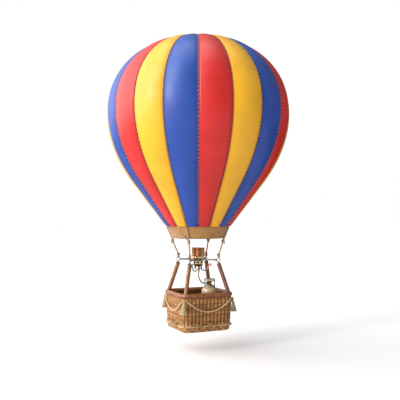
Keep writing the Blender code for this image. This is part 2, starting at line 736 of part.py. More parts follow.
def main():
    clear_scene()
    finishes = make_finishes()
    make_gores(finishes)
    make_crown_patch(finishes["canvas"])
    make_skirt(finishes["canvas"])
    make_poles(finishes["pole_leather"])
    make_links(finishes["steel"])
    make_stays(finishes["twine"])
    make_burner_cross(finishes["steel"])
    make_burner(finishes)
    make_pipes(finishes)
    make_hose(finishes["hose_grey"])
    make_gas_cylinder(finishes)
    make_basket(finishes["wicker"])
    make_rim(finishes["rim_leather"])
    make_swags(finishes["cotton_rope"])
    make_tassels(finishes["tassel_yarn"])
    make_base_rope(finishes["cotton_rope"])


main()
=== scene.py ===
"""The looks of a craft model hot air balloon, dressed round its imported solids.

Metres, +Z up. The origin is at the middle of the envelope's widest circle. The basket's long sides face -Y
(front) and +Y (back), its short sides -X (left) and +X (right). Sizes repeat those of the part's source.
"""

import logging
from collections.abc import Iterable, Mapping, Sequence
from dataclasses import dataclass, field
from enum import Enum
from math import atan2, cos, hypot, pi, radians, sin, sqrt
from typing import Any, ClassVar

import bpy
import numpy as np
from mathutils import Matrix, Vector

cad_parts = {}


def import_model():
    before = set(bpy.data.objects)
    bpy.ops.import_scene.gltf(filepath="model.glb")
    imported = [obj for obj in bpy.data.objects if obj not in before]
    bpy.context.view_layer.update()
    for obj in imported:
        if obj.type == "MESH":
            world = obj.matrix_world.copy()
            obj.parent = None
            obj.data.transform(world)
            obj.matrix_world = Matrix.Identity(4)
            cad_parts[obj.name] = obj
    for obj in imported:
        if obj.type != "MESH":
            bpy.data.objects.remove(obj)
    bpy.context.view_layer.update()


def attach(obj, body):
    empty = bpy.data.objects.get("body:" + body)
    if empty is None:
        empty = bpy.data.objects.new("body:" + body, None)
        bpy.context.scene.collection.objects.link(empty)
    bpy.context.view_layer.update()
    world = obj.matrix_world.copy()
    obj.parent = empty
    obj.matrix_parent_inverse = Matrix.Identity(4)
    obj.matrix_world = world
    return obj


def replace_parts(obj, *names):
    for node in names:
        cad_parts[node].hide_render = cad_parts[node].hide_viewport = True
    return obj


log = logging.getLogger("balloon")

MM = 0.001
GAP = 0.3 * MM  # what lies between two pieces that touch
HEADING = radians(-24.4)  # the front seam and the burner face this way, seen from above
UP = Vector((0.0, 0.0, 1.0))
BODY = "root"

Points = np.ndarray  # one row for each point, in metres
Mesh = tuple[Points, list[list[int]]]  # points, and faces as their indices
Pair = tuple[float, float]
Triple = tuple[float, float, float]
Piece = bpy.types.Object
Socket = bpy.types.NodeSocket
Stop = tuple[float, str]  # a colour ramp's place from 0 to 1, with its sRGB hex colour
Tree = bpy.types.NodeTree


# Colour and shader nodes


def linear(code: str) -> tuple[float, float, float, float]:
    """Turn the six digits of an sRGB hex colour to linear red, green and blue, with an alpha of 1."""
    channels = [int(code[i : i + 2], 16) / 255 for i in (0, 2, 4)]
    return (*(c / 12.92 if c <= 0.04045 else ((c + 0.055) / 1.055) ** 2.4 for c in channels), 1.0)


def feed(node: bpy.types.Node, inputs: Mapping[str | int, Any]) -> None:
    """Set a node's inputs.

    Args:
        node: The node.
        inputs: For each input's name or number, a value, an sRGB hex colour or another node's output socket.
    """
    for name, value in inputs.items():
        if isinstance(value, Socket):
            node.id_data.links.new(value, node.inputs[name])
        else:
            node.inputs[name].default_value = linear(value) if isinstance(value, str) else value


def add_node(
    tree: Tree, kind: str, inputs: Any = (), out: str | int = 0, stops: Iterable[Stop] = (), **settings: Any
) -> Socket:
    """Add a shader node.

    Args:
        tree: The material's or the world's tree.
        kind: The node's type, without "ShaderNode".
        inputs: What goes into its inputs, by name or number, or in their order.
        out: Which of its outputs is wanted.
        stops: A colour ramp's stops.
        settings: The node's own properties.

    Returns:
        The output's socket.
    """
    node = tree.nodes.new(f"ShaderNode{kind}")
    for name, value in settings.items():
        setattr(node, name, value)
    feed(node, inputs if isinstance(inputs, Mapping) else dict(enumerate(inputs)))
    for index, (place, code) in enumerate(stops):
        elements = node.color_ramp.elements
        element = elements[index] if index < len(elements) else elements.new(place)
        element.position, element.color = place, linear(code)
    return node.outputs[out]


def patches(tree: Tree, size: float, detail: float) -> Socket:
    """Noise over the object, from 0 to 1.

    Args:
        tree: The material's tree.
        size: About how wide its patches are, in metres.
        detail: How many finer layers it has.

    Returns:
        The noise's socket.
    """
    place = add_node(tree, "TexCoord", out="Object")
    inputs = {"Vector": place, "Scale": 1 / size, "Detail": detail, "Roughness": 0.55}
    return add_node(tree, "TexNoise", inputs)


def blend(tree: Tree, first: Socket, share: float, second: Socket) -> Socket:
    """Add a share of the first pattern to the rest of the second."""
    rest = add_node(tree, "Math", (second, 1 - share), operation="MULTIPLY")
    return add_node(tree, "Math", (first, share, rest), operation="MULTIPLY_ADD")


def relief(tree: Tree, *layers: tuple[Socket, float, float]) -> Socket:
    """Raise a surface by patterns laid over each other.

    Args:
        tree: The material's tree.
        layers: Each pattern, its depth in metres from its lowest to its highest, and its strength.

    Returns:
        The normal's socket.
    """
    below: dict[str, Any] = {}
    for height, depth, strength in layers:
        inputs = {"Height": height, "Distance": depth, "Strength": strength, **below}
        below["Normal"] = add_node(tree, "Bump", inputs)
    return below["Normal"]


# Finishes


@dataclass(frozen=True)
class Finish:
    """A surface whose colour goes from deep to light. slot names a material slot, which the script doesn't
    use.
    """

    name: str
    slot: str
    light: str
    deep: str

    def surface(self, tree: Tree) -> dict[str, Any]:
        """What goes into the shader's inputs."""
        raise NotImplementedError

    def material(self) -> bpy.types.Material:
        """The finish's material, made once.

        Returns:
            The material.
        """
        made = bpy.data.materials.get(self.name)
        if made is None:
            made = bpy.data.materials.new(self.name)
            made.use_nodes = True
            feed(made.node_tree.nodes["Principled BSDF"], self.surface(made.node_tree))
        return made

    def tones(self, low: float, high: float) -> tuple[Stop, Stop]:
        """The stops of a colour that is deep where its pattern is low and light where it is high."""
        return (low, self.deep), (high, self.light)


@dataclass(frozen=True)
class CoatedCloth(Finish):
    """Polyurethane-coated upholstery cloth: flat colour under a soft plastic film, so broad dull highlights.

    The film's pebbled grain is about 1 mm, and the cloth puckers a little at each stitch of a seam.
    Near each seam the colour is darkened as painted shade, and the seam's groove takes a painted shadow
    colour.
    """

    # the painted shadow colour in each seam's groove
    shadow: str
    grain: float = 1.1 * MM
    sag: float = 24 * MM  # how wide the padding's shallow waves are
    stitch_pitch: float = 8.2 * MM

    def surface(self, tree: Tree) -> dict[str, Any]:
        """Add the pattern nodes.

        Args:
            tree: The material's tree.

        Returns:
            What goes into the shader's inputs.
        """
        names = ("seam", "groove", "run")
        seam, groove, run = (add_node(tree, "Attribute", out="Fac", attribute_name=name) for name in names)
        cloth = add_node(tree, "ValToRGB", [patches(tree, 60 * MM, 2)], stops=self.tones(0.3, 0.7))
        # painted shade: the cloth darkens within about 5 mm of each seam
        wear_and_shade = add_node(tree, "Math", (seam, 0.35), operation="MULTIPLY")
        darker = {0: wear_and_shade, 6: cloth, 7: self.deep}
        cloth = add_node(tree, "Mix", darker, 2, data_type="RGBA", blend_type="MULTIPLY")
        phase = add_node(tree, "Math", (run, 2 * pi / self.stitch_pitch), operation="MULTIPLY")
        wave = add_node(tree, "Math", [phase], operation="SINE")
        puckers = add_node(tree, "Math", (wave, seam), operation="MULTIPLY")
        pebbles, waves = patches(tree, self.grain, 1), patches(tree, self.sag, 2)
        layers = ((puckers, 0.35 * MM, 0.8), (pebbles, 0.05 * MM, 0.5), (waves, 0.5 * MM, 0.35))
        return {
            # the groove along each seam takes the painted shadow colour
            "Base Color": add_node(tree, "Mix", {0: groove, 6: cloth, 7: self.shadow}, 2, data_type="RGBA"),
            "Roughness": 0.52,
            "IOR": 1.5,
            "Specular IOR Level": 0.3,
            "Coat Weight": 0.4,
            "Coat Roughness": 0.34,
            "Normal": relief(tree, *layers),
        }


@dataclass(frozen=True)
class Canvas(Finish):
    """Plain-woven cotton canvas: dry, with no highlight. Its 0.6 mm threads are drawn at 1.3 mm to show."""

    thread: float = 1.3 * MM
    trunk_radius: float = 63 * MM

    def surface(self, tree: Tree) -> dict[str, Any]:
        """Add the pattern nodes.

        Args:
            tree: The material's tree.

        Returns:
            What goes into the shader's inputs.
        """
        place = add_node(tree, "SeparateXYZ", [add_node(tree, "TexCoord", out="Object")]).node.outputs
        turn = add_node(tree, "Math", (place["Y"], place["X"]), operation="ARCTAN2")
        upright, level = round(2 * pi * self.trunk_radius / self.thread), 2 * pi / self.thread
        threads = []
        for line, pace in ((turn, upright), (place["Z"], level)):
            phase = add_node(tree, "Math", (line, pace), operation="MULTIPLY")
            threads.append(add_node(tree, "Math", [phase], operation="SINE"))
        weave = add_node(tree, "Math", threads, operation="MULTIPLY")
        stained = add_node(tree, "ValToRGB", [patches(tree, 14 * MM, 4)], stops=self.tones(0.3, 0.7))
        sunk = add_node(tree, "Math", (weave, 0.12, 0.2), operation="MULTIPLY_ADD")
        return {
            "Base Color": add_node(tree, "Mix", {0: sunk, 6: stained, 7: self.deep}, 2, data_type="RGBA"),
            "Roughness": 0.85,
            "Sheen Weight": 0.25,
            "Sheen Roughness": 0.5,
            "Normal": relief(tree, (weave, 0.15 * MM, 0.5), (patches(tree, 6 * MM, 3), 0.5 * MM, 0.5)),
        }


@dataclass(frozen=True)
class SpunFibre(Finish):
    """Spun natural fibre, as twine, rope or yarn: matt and hairy, with painted shade between the strands."""

    fibre: float = 0.5 * MM

    def surface(self, tree: Tree) -> dict[str, Any]:
        """Add the pattern nodes.

        Args:
            tree: The material's tree.

        Returns:
            What goes into the shader's inputs.
        """
        fibres = patches(tree, self.fibre, 4)
        tone = add_node(tree, "Attribute", out="Fac", attribute_name="tone")
        height = blend(tree, tone, 0.65, patches(tree, 9 * MM, 2))
        hairy = add_node(tree, "Math", (fibres, 0.45), operation="MULTIPLY")
        strands = add_node(tree, "ValToRGB", [height], stops=self.tones(0.12, 0.75))
        return {
            "Base Color": add_node(tree, "Mix", {0: hairy, 6: strands, 7: self.deep}, 2, data_type="RGBA"),
            "Roughness": 0.9,
            "Sheen Weight": 0.3,
            "Sheen Roughness": 0.5,
            "Normal": relief(tree, (fibres, 0.2 * MM, 0.7)),
        }


@dataclass(frozen=True)
class TannedLeather(Finish):
    """Vegetable-tanned leather: waxed, soft shine, fine grain, paler where rubbed, painted light and shade.
    """

    grain: float = 0.9 * MM

    def surface(self, tree: Tree) -> dict[str, Any]:
        """Add the pattern nodes.

        Args:
            tree: The material's tree.

        Returns:
            What goes into the shader's inputs.
        """
        tone = add_node(tree, "Attribute", out="Fac", attribute_name="tone")
        height = blend(tree, tone, 0.5, patches(tree, 16 * MM, 4))
        place = add_node(tree, "TexCoord", out="Object")
        cells = add_node(tree, "TexVoronoi", {"Vector": place, "Scale": 1 / self.grain}, "Distance")
        return {
            "Base Color": add_node(tree, "ValToRGB", [height], stops=self.tones(0.25, 0.8)),
            "Roughness": 0.48,
            "IOR": 1.5,
            "Coat Weight": 0.25,
            "Coat Roughness": 0.25,
            "Normal": relief(tree, (cells, 0.12 * MM, 0.5), (patches(tree, 5 * MM, 3), 0.4 * MM, 0.4)),
        }


@dataclass(frozen=True)
class Metal(Finish):
    """Bare metal, turned or drawn: clear reflections, dulled and darkened in patches by handling and heat."""

    roughness: float = 0.3
    patch: float = 3 * MM

    def surface(self, tree: Tree) -> dict[str, Any]:
        """Add the pattern nodes.

        Args:
            tree: The material's tree.

        Returns:
            What goes into the shader's inputs.
        """
        stains = patches(tree, self.patch, 4)
        dull = {"Value": stains, "To Min": self.roughness - 0.07, "To Max": self.roughness + 0.12}
        return {
            "Base Color": add_node(tree, "ValToRGB", [stains], stops=self.tones(0.35, 0.62)),
            "Metallic": 1.0,
            "Roughness": add_node(tree, "MapRange", dull, "Result"),
            "Normal": relief(tree, (patches(tree, 0.7 * MM, 2), 0.03 * MM, 0.4)),
        }


@dataclass(frozen=True)
class StovePaint(Finish):
    """Stove-enamelled steel: glossy and even, with a slight orange peel and small rubbed places."""

    def surface(self, tree: Tree) -> dict[str, Any]:
        """Add the pattern nodes.

        Args:
            tree: The material's tree.

        Returns:
            What goes into the shader's inputs.
        """
        rubbed = patches(tree, 12 * MM, 4)
        return {
            "Base Color": add_node(tree, "ValToRGB", [rubbed], stops=self.tones(0.35, 0.6)),
            "Roughness": 0.26,
            "Coat Weight": 0.8,
            "Coat Roughness": 0.12,
            "Normal": relief(tree, (patches(tree, 2 * MM, 1), 0.05 * MM, 0.4)),
        }


@dataclass(frozen=True)
class BraidedHose(Finish):
    """Hose of clear plastic over a woven braid: satin, with the braid faintly raised."""

    def surface(self, tree: Tree) -> dict[str, Any]:
        """Add the pattern nodes.

        Args:
            tree: The material's tree.

        Returns:
            What goes into the shader's inputs.
        """
        braid = patches(tree, 0.8 * MM, 3)
        return {
            "Base Color": add_node(tree, "ValToRGB", [braid], stops=self.tones(0.35, 0.65)),
            "Roughness": 0.32,
            "Normal": relief(tree, (braid, 0.08 * MM, 0.5)),
        }


@dataclass(frozen=True)
class WovenWillow(Finish):
    """Woven varnished willow rods, each of its own tone: painted shade in the gaps, painted light where high.
    """

    middle: str
    # gap is the painted shade colour where the rods sink away
    gap: str
    fibre: float = 0.6 * MM

    def surface(self, tree: Tree) -> dict[str, Any]:
        """Add the pattern nodes.

        Args:
            tree: The material's tree.

        Returns:
            What goes into the shader's inputs.
        """
        names = ("rod", "tone")
        rod, tone = (add_node(tree, "Attribute", out="Fac", attribute_name=name) for name in names)
        fibres = patches(tree, self.fibre, 3)
        stops = ((0.15, self.deep), (0.5, self.middle), (0.8, self.light))
        wood = add_node(tree, "ValToRGB", [blend(tree, fibres, 0.35, rod)], stops=stops)
        # the lower the tone, the more of the painted shade colour shows
        sunk = add_node(tree, "Math", (1.0, tone), operation="SUBTRACT")
        return {
            "Base Color": add_node(tree, "Mix", {0: sunk, 6: wood, 7: self.gap}, 2, data_type="RGBA"),
            "Roughness": 0.6,
            "Specular IOR Level": 0.35,
            "Coat Weight": 0.06,
            "Coat Roughness": 0.3,
            "Normal": relief(tree, (fibres, 0.1 * MM, 0.5)),
        }


# The last colour of each coated cloth is the painted shadow in its seams' grooves.
RED = CoatedCloth("coated cloth, red", "red_cloth", "D6201C", "C51915", "3A1014")
YELLOW = CoatedCloth("coated cloth, yellow", "yellow_cloth", "F5B61F", "E9A917", "5A4214")
BLUE = CoatedCloth("coated cloth, blue", "blue_cloth", "204AA6", "1A4097", "0E1A44")
CANVAS = Canvas("cotton canvas", "canvas", "B98B50", "9E6D38")
TAPE = SpunFibre("cotton tape", "canvas", "94683A", "5E3F22")  # browned along its fold
# On the seams, the deep colour is the cord's that fills the groove under the stitches.
MAUVE_THREAD = SpunFibre("mauve waxed thread", "twine", "A48FAE", "5A4270", 0.3 * MM)
RUST_THREAD = SpunFibre("rust waxed thread", "twine", "B4502E", "6E1A16", 0.3 * MM)
NAVY_THREAD = SpunFibre("navy waxed thread", "twine", "2B3054", "E2CB84", 0.3 * MM)
TAN_THREAD = SpunFibre("tan linen thread", "twine", "B98C58", "7C5630", 0.3 * MM)
TWINE = SpunFibre("hemp twine", "twine", "C4A683", "503A28")
SCORCHED_TWINE = SpunFibre("scorched hemp twine", "twine", "C87E4E", "5A2A14")  # reddened by the burner
COTTON = SpunFibre("cotton rope", "cotton_rope", "E2BF98", "98704C")
WORN_COTTON = SpunFibre("worn cotton rope", "cotton_rope", "E0B88A", "86653E")
BOW_COTTON = SpunFibre("worn cotton rope, bows", "cotton_rope", "B8955F", "5A3D1E")  # darker with dirt, and with painted shade
YARN = SpunFibre("tassel yarn", "tassel_yarn", "CDB98C", "66502F")
# A darker copy of the tassel yarn for the right-hand tassels: painted shade.
SHADED_YARN = SpunFibre("tassel yarn, painted shade", "tassel_yarn", "A08A64", "46341C")
RIM_HIDE = TannedLeather("saddle leather", "rim_leather", "A86639", "69381D")
POLE_HIDE = TannedLeather("leather sleeve", "pole_leather", "B4743F", "56331A")
# A darker copy of the sleeve leather for the right-hand poles: painted shade.
SHADED_HIDE = TannedLeather("leather sleeve, painted shade", "pole_leather", "86523A", "3C2115")
FERRULE = TannedLeather("dark leather binding", "pole_leather", "6E4832", "3A2418")
STEEL = Metal("polished steel", "steel", "ADABA8", "66625E", 0.2)
PIPE_STEEL = Metal("handled steel tube", "steel", "9A9088", "544840", 0.3, 9 * MM)  # dulled by fingers
ZINC = Metal("zinc-plated sheet", "steel", "D2CBBE", "7C6A56", 0.32, 8 * MM)  # pale, in wide soft spangles
ALLOY = Metal("turned alloy", "brass", "FFF1D2", "DFC796", 0.34, 2 * MM)  # pale, turned smooth
BRASS = Metal("aged brass", "brass", "DDB470", "8A6434", 0.28)
TARNISHED = Metal("tarnished brass", "brass", "B8894A", "5C4024", 0.32)
BRONZE = Metal("heat-darkened bronze", "bronze", "AD8052", "62452C", 0.36)  # browned by the flame
COPPER = Metal("heated copper", "copper", "F3A266", "A4532C", 0.3, 4.5 * MM)  # orange, blotched by the flame
# Black for the knobs, and for plugs that paint the shade inside holes and bores.
BLACK_AND_HOLE_SHADE = Metal("black knobs and painted hole shade", "bronze", "2A221E", "14100E", 0.6)  # black and matt
LEVER = StovePaint("orange-red enamel", "lever_red", "EE8438", "BE4A1C")
WHEEL_ENAMEL = StovePaint("dark brown enamel", "bronze", "5E3A26", "3C2216")
TANK = StovePaint("cream enamel", "cylinder_paint", "CBB28A", "B09168")  # smooth and warm
HOSE = BraidedHose("grey hose", "hose_grey", "B8A698", "72635A")
WILLOW = WovenWillow("varnished willow", "wicker", "DDAC6C", "85522A", "BA8044", "402310")
GORE_FINISHES = (RED, YELLOW, BLUE)  # in turn, to the right of the front seam
SEAM_THREADS = (MAUVE_THREAD, RUST_THREAD, NAVY_THREAD)  # as the gores


# Shapes


def around(count: int) -> np.ndarray:
    """Directions at even steps round a circle."""
    return 2 * pi * np.arange(count) / count


def bell(x: Any) -> Any:
    """A smooth bump, 1 at 0."""
    return np.exp(-(x**2))


def ring(radius: Any, turns: np.ndarray, z: Any, centre: Sequence[float] = (0.0, 0.0)) -> Points:
    """Points round a vertical axis, with one radius and height for all or one for each."""
    x, y = centre[0] + radius * np.cos(turns), centre[1] + radius * np.sin(turns)
    return np.stack([x, y, np.broadcast_to(z, turns.shape)], axis=1)


def hoop(centre: Vector, radius: float, across: Vector, up: Vector, turns: np.ndarray) -> Points:
    """Points on a circle that lies along two directions."""
    return np.array([centre + radius * (across * cos(a) + up * sin(a)) for a in turns])


def polar(radius: float, turn: float, z: float) -> Vector:
    """The point at a radius, direction and height."""
    return Vector((radius * cos(turn), radius * sin(turn), z))


def facing(x: float, y: float, z: float) -> Vector:
    """A point given as seen from the front seam: x to the right, y away from the eye."""
    return Matrix.Rotation(HEADING, 3, "Z") @ Vector((x, y, z))


def outward(place: Vector) -> tuple[Vector, Vector]:
    """The level direction from the middle to a place, and the one to its left."""
    out = Vector((place.x, place.y, 0)).normalized()
    return out, Vector((-out.y, out.x, 0))


def run_along(path: Points) -> np.ndarray:
    """Each point's distance from the first, along the path."""
    return np.concatenate([[0], np.cumsum(np.linalg.norm(np.diff(path, axis=0), axis=1))])


def at_places(places: Any, run: np.ndarray, rows: Points) -> Points:
    """The rows at places between them, as run gives each row's own place."""
    return np.stack([np.interp(places, run, column) for column in rows.T], axis=-1)


def loft(rows: Sequence[Points], closed: bool = False) -> Mesh:
    """A skin over rows of points.

    Args:
        rows: Rows that go round, all with as many points.
        closed: Whether the last joins the first. If not, each end has a face.

    Returns:
        The mesh.
    """
    count, columns = len(rows), len(rows[0])
    faces = []
    for i in range(count if closed else count - 1):
        low, high = i * columns, (i + 1) % count * columns
        for a in range(columns):
            b = (a + 1) % columns
            faces.append([low + a, low + b, high + b, high + a])
    if not closed:
        faces += [list(range(columns))[::-1], list(range((count - 1) * columns, count * columns))]
    return np.concatenate(rows), faces


def smooth_path(knots: Sequence[Sequence[float]], steps: int) -> Points:
    """A smooth curve.

    Args:
        knots: At least three points that it passes through.
        steps: How many points from one knot to the next.

    Returns:
        Points from the first knot to the last.
    """
    known = [np.array(k, float) for k in knots]
    ends = [2 * known[0] - known[1], *known, 2 * known[-1] - known[-2]]
    path = []
    for a, b, c, d in zip(ends, ends[1:], ends[2:], ends[3:]):
        for t in np.arange(steps) / steps:
            bend = (2 * a - 5 * b + 4 * c - d) * t * t + (3 * b - a - 3 * c + d) * t**3
            path.append(0.5 * (2 * b + (c - a) * t + bend))
    return np.array([*path, known[-1]])


def even_path(path: Points, spacing: float, closed: bool = False) -> Points:
    """Set a path's points at even distances.

    Args:
        path: The points.
        spacing: About how far apart the new ones are.
        closed: Whether the last joins the first.

    Returns:
        The new points.
    """
    line = np.vstack([path, path[:1]]) if closed else path
    run = run_along(line)
    places = np.linspace(0, run[-1], max(2, round(run[-1] / spacing)) + 1)
    return at_places(places[:-1] if closed else places, run, line)


def sweep(path: Sequence[Sequence[float]], radii: Any, sides: int, closed: bool = False) -> Mesh:
    """A bar along a path, which doesn't twist.

    Args:
        path: The points.
        radii: One radius, one for each point, or one for each point and side.
        sides: How many sides the bar has.
        closed: Whether the last point joins the first.

    Returns:
        The mesh.
    """
    path = np.array(path, float)
    ends = (path[-1:], path[:1]) if closed else (path[:1], path[-1:])
    along = np.vstack([path[1:], ends[1]]) - np.vstack([ends[0], path[:-1]])
    along /= np.linalg.norm(along, axis=1)[:, None]
    side = np.cross(along[0], UP)
    if np.linalg.norm(side) < 0.1:
        side = np.cross(along[0], (1.0, 0.0, 0.0))
    first = np.empty_like(along)
    for i, direction in enumerate(along):
        side = side - direction * side.dot(direction)
        side /= np.linalg.norm(side)
        first[i] = side
    second = np.cross(along, first)
    if closed:
        last = side - along[0] * side.dot(along[0])
        turn = -atan2(last.dot(second[0]), last.dot(first[0])) * np.arange(len(path))[:, None] / len(path)
        c, s = np.cos(turn), np.sin(turn)
        first, second = first * c + second * s, second * c - first * s
    size = np.asarray(radii, float)
    size = np.broadcast_to(size[:, None] if size.ndim == 1 else size, (len(path), sides))
    turns = around(sides)[:, None]
    wheel = first[:, None] * np.cos(turns) + second[:, None] * np.sin(turns)
    return loft(path[:, None] + size[..., None] * wheel, closed)


def turned(profile: Iterable[Pair], sides: int, centre: Sequence[float] = (0.0, 0.0)) -> Mesh:
    """A body turned round a vertical axis, from pairs of radius and height."""
    return loft([ring(r, around(sides), z, centre) for r, z in profile])


def rounded(profile: Sequence[Pair], radius: float, steps: int = 3) -> list[Pair]:
    """Round a profile's corners, apart from its two ends.

    Args:
        profile: Pairs of radius and height.
        radius: About how round the corners get.
        steps: Steps round a corner.

    Returns:
        The new profile.
    """
    made = [profile[0]]
    for before, corner, after in zip(profile, profile[1:], profile[2:]):
        here = Vector(corner)
        back, on = Vector(before) - here, Vector(after) - here
        cut = min(radius, back.length / 2, on.length / 2)
        start, end = here + back.normalized() * cut, here + on.normalized() * cut
        for t in (i / steps for i in range(steps + 1)):
            made.append(tuple(start * (1 - t) ** 2 + here * 2 * t * (1 - t) + end * t * t))
    return [*made, profile[-1]]


def rounded_loop(
    half_x: float, half_y: float, corner: float, arc_steps: int, straight_steps: int = 1
) -> tuple[Points, Points]:
    """A rectangle with round corners, anticlockwise from its right side's back end.

    Args:
        half_x: Half its size along X.
        half_y: Half its size along Y.
        corner: The corners' radius.
        arc_steps: Steps round a corner.
        straight_steps: Steps along a side.

    Returns:
        Points at height 0, and the outward direction at each.
    """
    x, y = half_x - corner, half_y - corner
    middles = [np.array(middle) for middle in ((x, y, 0.0), (-x, y, 0.0), (-x, -y, 0.0), (x, -y, 0.0))]
    points, ways = [], []
    for quarter, (middle, following) in enumerate(zip(middles, middles[1:] + middles[:1])):
        for i in range(arc_steps + 1):
            turn = pi / 2 * (quarter + i / arc_steps)
            ways.append(np.array((cos(turn), sin(turn), 0.0)))
            points.append(middle + corner * ways[-1])
        start, target = points[-1], following + corner * ways[-1]
        for i in range(1, straight_steps):
            points.append(start + (target - start) * i / straight_steps)
            ways.append(ways[-1])
    return np.array(points), np.array(ways)


def resample_loop(points: Points, ways: Points, count: int) -> tuple[Points, Points]:
    """Set a loop's points at even distances from the first.

    Args:
        points: The loop's points.
        ways: Its outward directions.
        count: How many points it gets.

    Returns:
        The new points and directions.
    """
    line, out = np.vstack([points, points[:1]]), np.vstack([ways, ways[:1]])
    run = run_along(line)
    places = np.linspace(0, run[-1], count, endpoint=False)
    even_ways = at_places(places, run, out)
    return at_places(places, run, line), even_ways / np.linalg.norm(even_ways, axis=1)[:, None]


@dataclass
class Shape:
    """Meshes joined into one as they are made. Each point also has values that a finish reads, by name."""

    points: list[Points] = field(default_factory=list)
    faces: list[list[int]] = field(default_factory=list)
    values: dict[str, list[np.ndarray]] = field(default_factory=dict)
    count: int = 0

    def add(self, points: Points, faces: list[list[int]], **values: Any) -> None:
        """Join a mesh.

        Args:
            points: The mesh's points.
            faces: Its faces, as indices of its points.
            values: For each name, one number or one for each point. A name left out is 0.5.
        """
        for name in set(values) | set(self.values):
            known = self.values.setdefault(name, [np.full(self.count, 0.5)] if self.count else [])
            known.append(np.broadcast_to(np.asarray(values.get(name, 0.5), float), (len(points),)))
        self.points.append(points)
        self.faces += [[i + self.count for i in face] for face in faces]
        self.count += len(points)

    def piece(self, name: str, finish: Finish, node: str = "", smooth_below: float = radians(50)) -> Piece:
        """Make the object, which rides on the part's body.

        Args:
            name: The piece's name.
            finish: Its finish.
            node: The solid that it replaces, if it does.
            smooth_below: Edges that bend by less than this are shaded smooth.

        Returns:
            The object.
        """
        mesh = bpy.data.meshes.new(name)
        mesh.from_pydata(np.concatenate(self.points).tolist(), [], self.faces)
        for label, parts in self.values.items():
            layer = mesh.attributes.new(label, "FLOAT", "POINT")
            layer.data.foreach_set("value", np.concatenate(parts).astype(np.float32))
        mesh.shade_smooth()
        mesh.set_sharp_from_angle(angle=smooth_below)
        mesh.materials.append(finish.material())
        made = bpy.data.objects.new(name, mesh)
        bpy.context.scene.collection.objects.link(made)
        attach(made, BODY)
        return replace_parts(made, node) if node else made


def joined(*meshes: Mesh) -> Shape:
    """One shape of several meshes.

    Args:
        meshes: The meshes.

    Returns:
        The shape.
    """
    shape = Shape()
    for mesh in meshes:
        shape.add(*mesh)
    return shape


def sew_round(
    shape: Shape, count: int, half_turn: float, radii: Any, heights: Any, thread_r: float, tone: float
) -> None:
    """Sew a ring of stitches about the middle.

    Args:
        shape: What they go into.
        count: How many they are.
        half_turn: Half the angle that each takes.
        radii: Where the thread lies, from a stitch's start to its end, or one radius.
        heights: The same for its height.
        thread_r: The thread's radius.
        tone: How light it is, from 0 to 1.
    """
    for turn in around(count):
        steps = turn + np.array([-1, -0.5, 0.5, 1]) * half_turn
        shape.add(*sweep(ring(radii, steps, heights), thread_r, 6), tone=tone)


def declare_cord(piece: Piece) -> Piece:
    """Hand back a cord's piece as it is; nothing marks it as a cord.

    Args:
        piece: The piece.

    Returns:
        The piece.
    """
    return piece


@dataclass(frozen=True)
class Rope:
    """Laid rope: strands twisted round each other."""

    radius: float
    sides: int = 18
    strands: int = 3
    lay: float = 4.2  # turn length over the rope's diameter
    groove: float = 0.24  # how deep the valleys are, over the radius
    spacing: float = 0.55 * MM

    def add_to(self, shape: Shape, path: Points, closed: bool = False) -> None:
        """Join a length of the rope.

        Args:
            shape: What it goes into.
            path: The points that it follows.
            closed: Whether it is a ring.
        """
        line = even_path(path, self.spacing, closed)
        run = run_along(line)
        turn_length = self.lay * 2 * self.radius
        if closed:
            length = run[-1] + np.linalg.norm(line[0] - line[-1])
            turn_length = length / max(1, round(length / turn_length))
        phase = around(self.sides) - 2 * pi * run[:, None] / turn_length
        crest = np.abs(np.cos(phase * self.strands / 2)) ** 0.7
        radii = self.radius * (1 - self.groove * (1 - crest))
        # tone follows the strands' crests: painted shade in the valleys between them
        shape.add(*sweep(line, radii, self.sides, closed), tone=crest.ravel())

    def knot(self, shape: Shape, centre: Sequence[float], size: float, tilt: float = 0.0) -> None:
        """Join an overhand knot.

        Args:
            shape: What it goes into.
            centre: The knot's middle.
            size: Its radius outside.
            tilt: How far it is turned about the vertical.
        """
        strand, turns = size * 0.4, around(72)
        x, z = np.sin(turns) + 2 * np.sin(2 * turns), np.cos(turns) - 2 * np.cos(2 * turns)
        bend = np.stack([x, -1.5 * np.sin(3 * turns), z], axis=1) * (size - strand) / 3
        path = bend @ np.array(Matrix.Rotation(tilt, 3, "Z")).T + np.asarray(centre, float)
        Rope(strand, 12).add_to(shape, path, True)


class Corner(Enum):
    """A corner: the side of X and of Y, the direction of its stay's top, and the bridle's way off."""

    FRONT_LEFT = (-1, -1, 225.6, -1)
    FRONT_RIGHT = (1, -1, -44.4, 1)
    BACK_RIGHT = (1, 1, 42.0, -1)
    BACK_LEFT = (-1, 1, 147.0, -1)

    @property
    def node(self) -> str:
        """The corner's name in the solids."""
        return self.name.lower()

    @property
    def sides(self) -> tuple[int, int]:
        """The side of X and of Y."""
        return self.value[0], self.value[1]

    @property
    def stay_turn(self) -> float:
        """Where the stay's top is, round the envelope."""
        return radians(self.value[2])

    @property
    def lead(self) -> int:
        """Which way the bridle leads off, 1 for anticlockwise from above."""
        return self.value[3]


# The balloon, from its top down


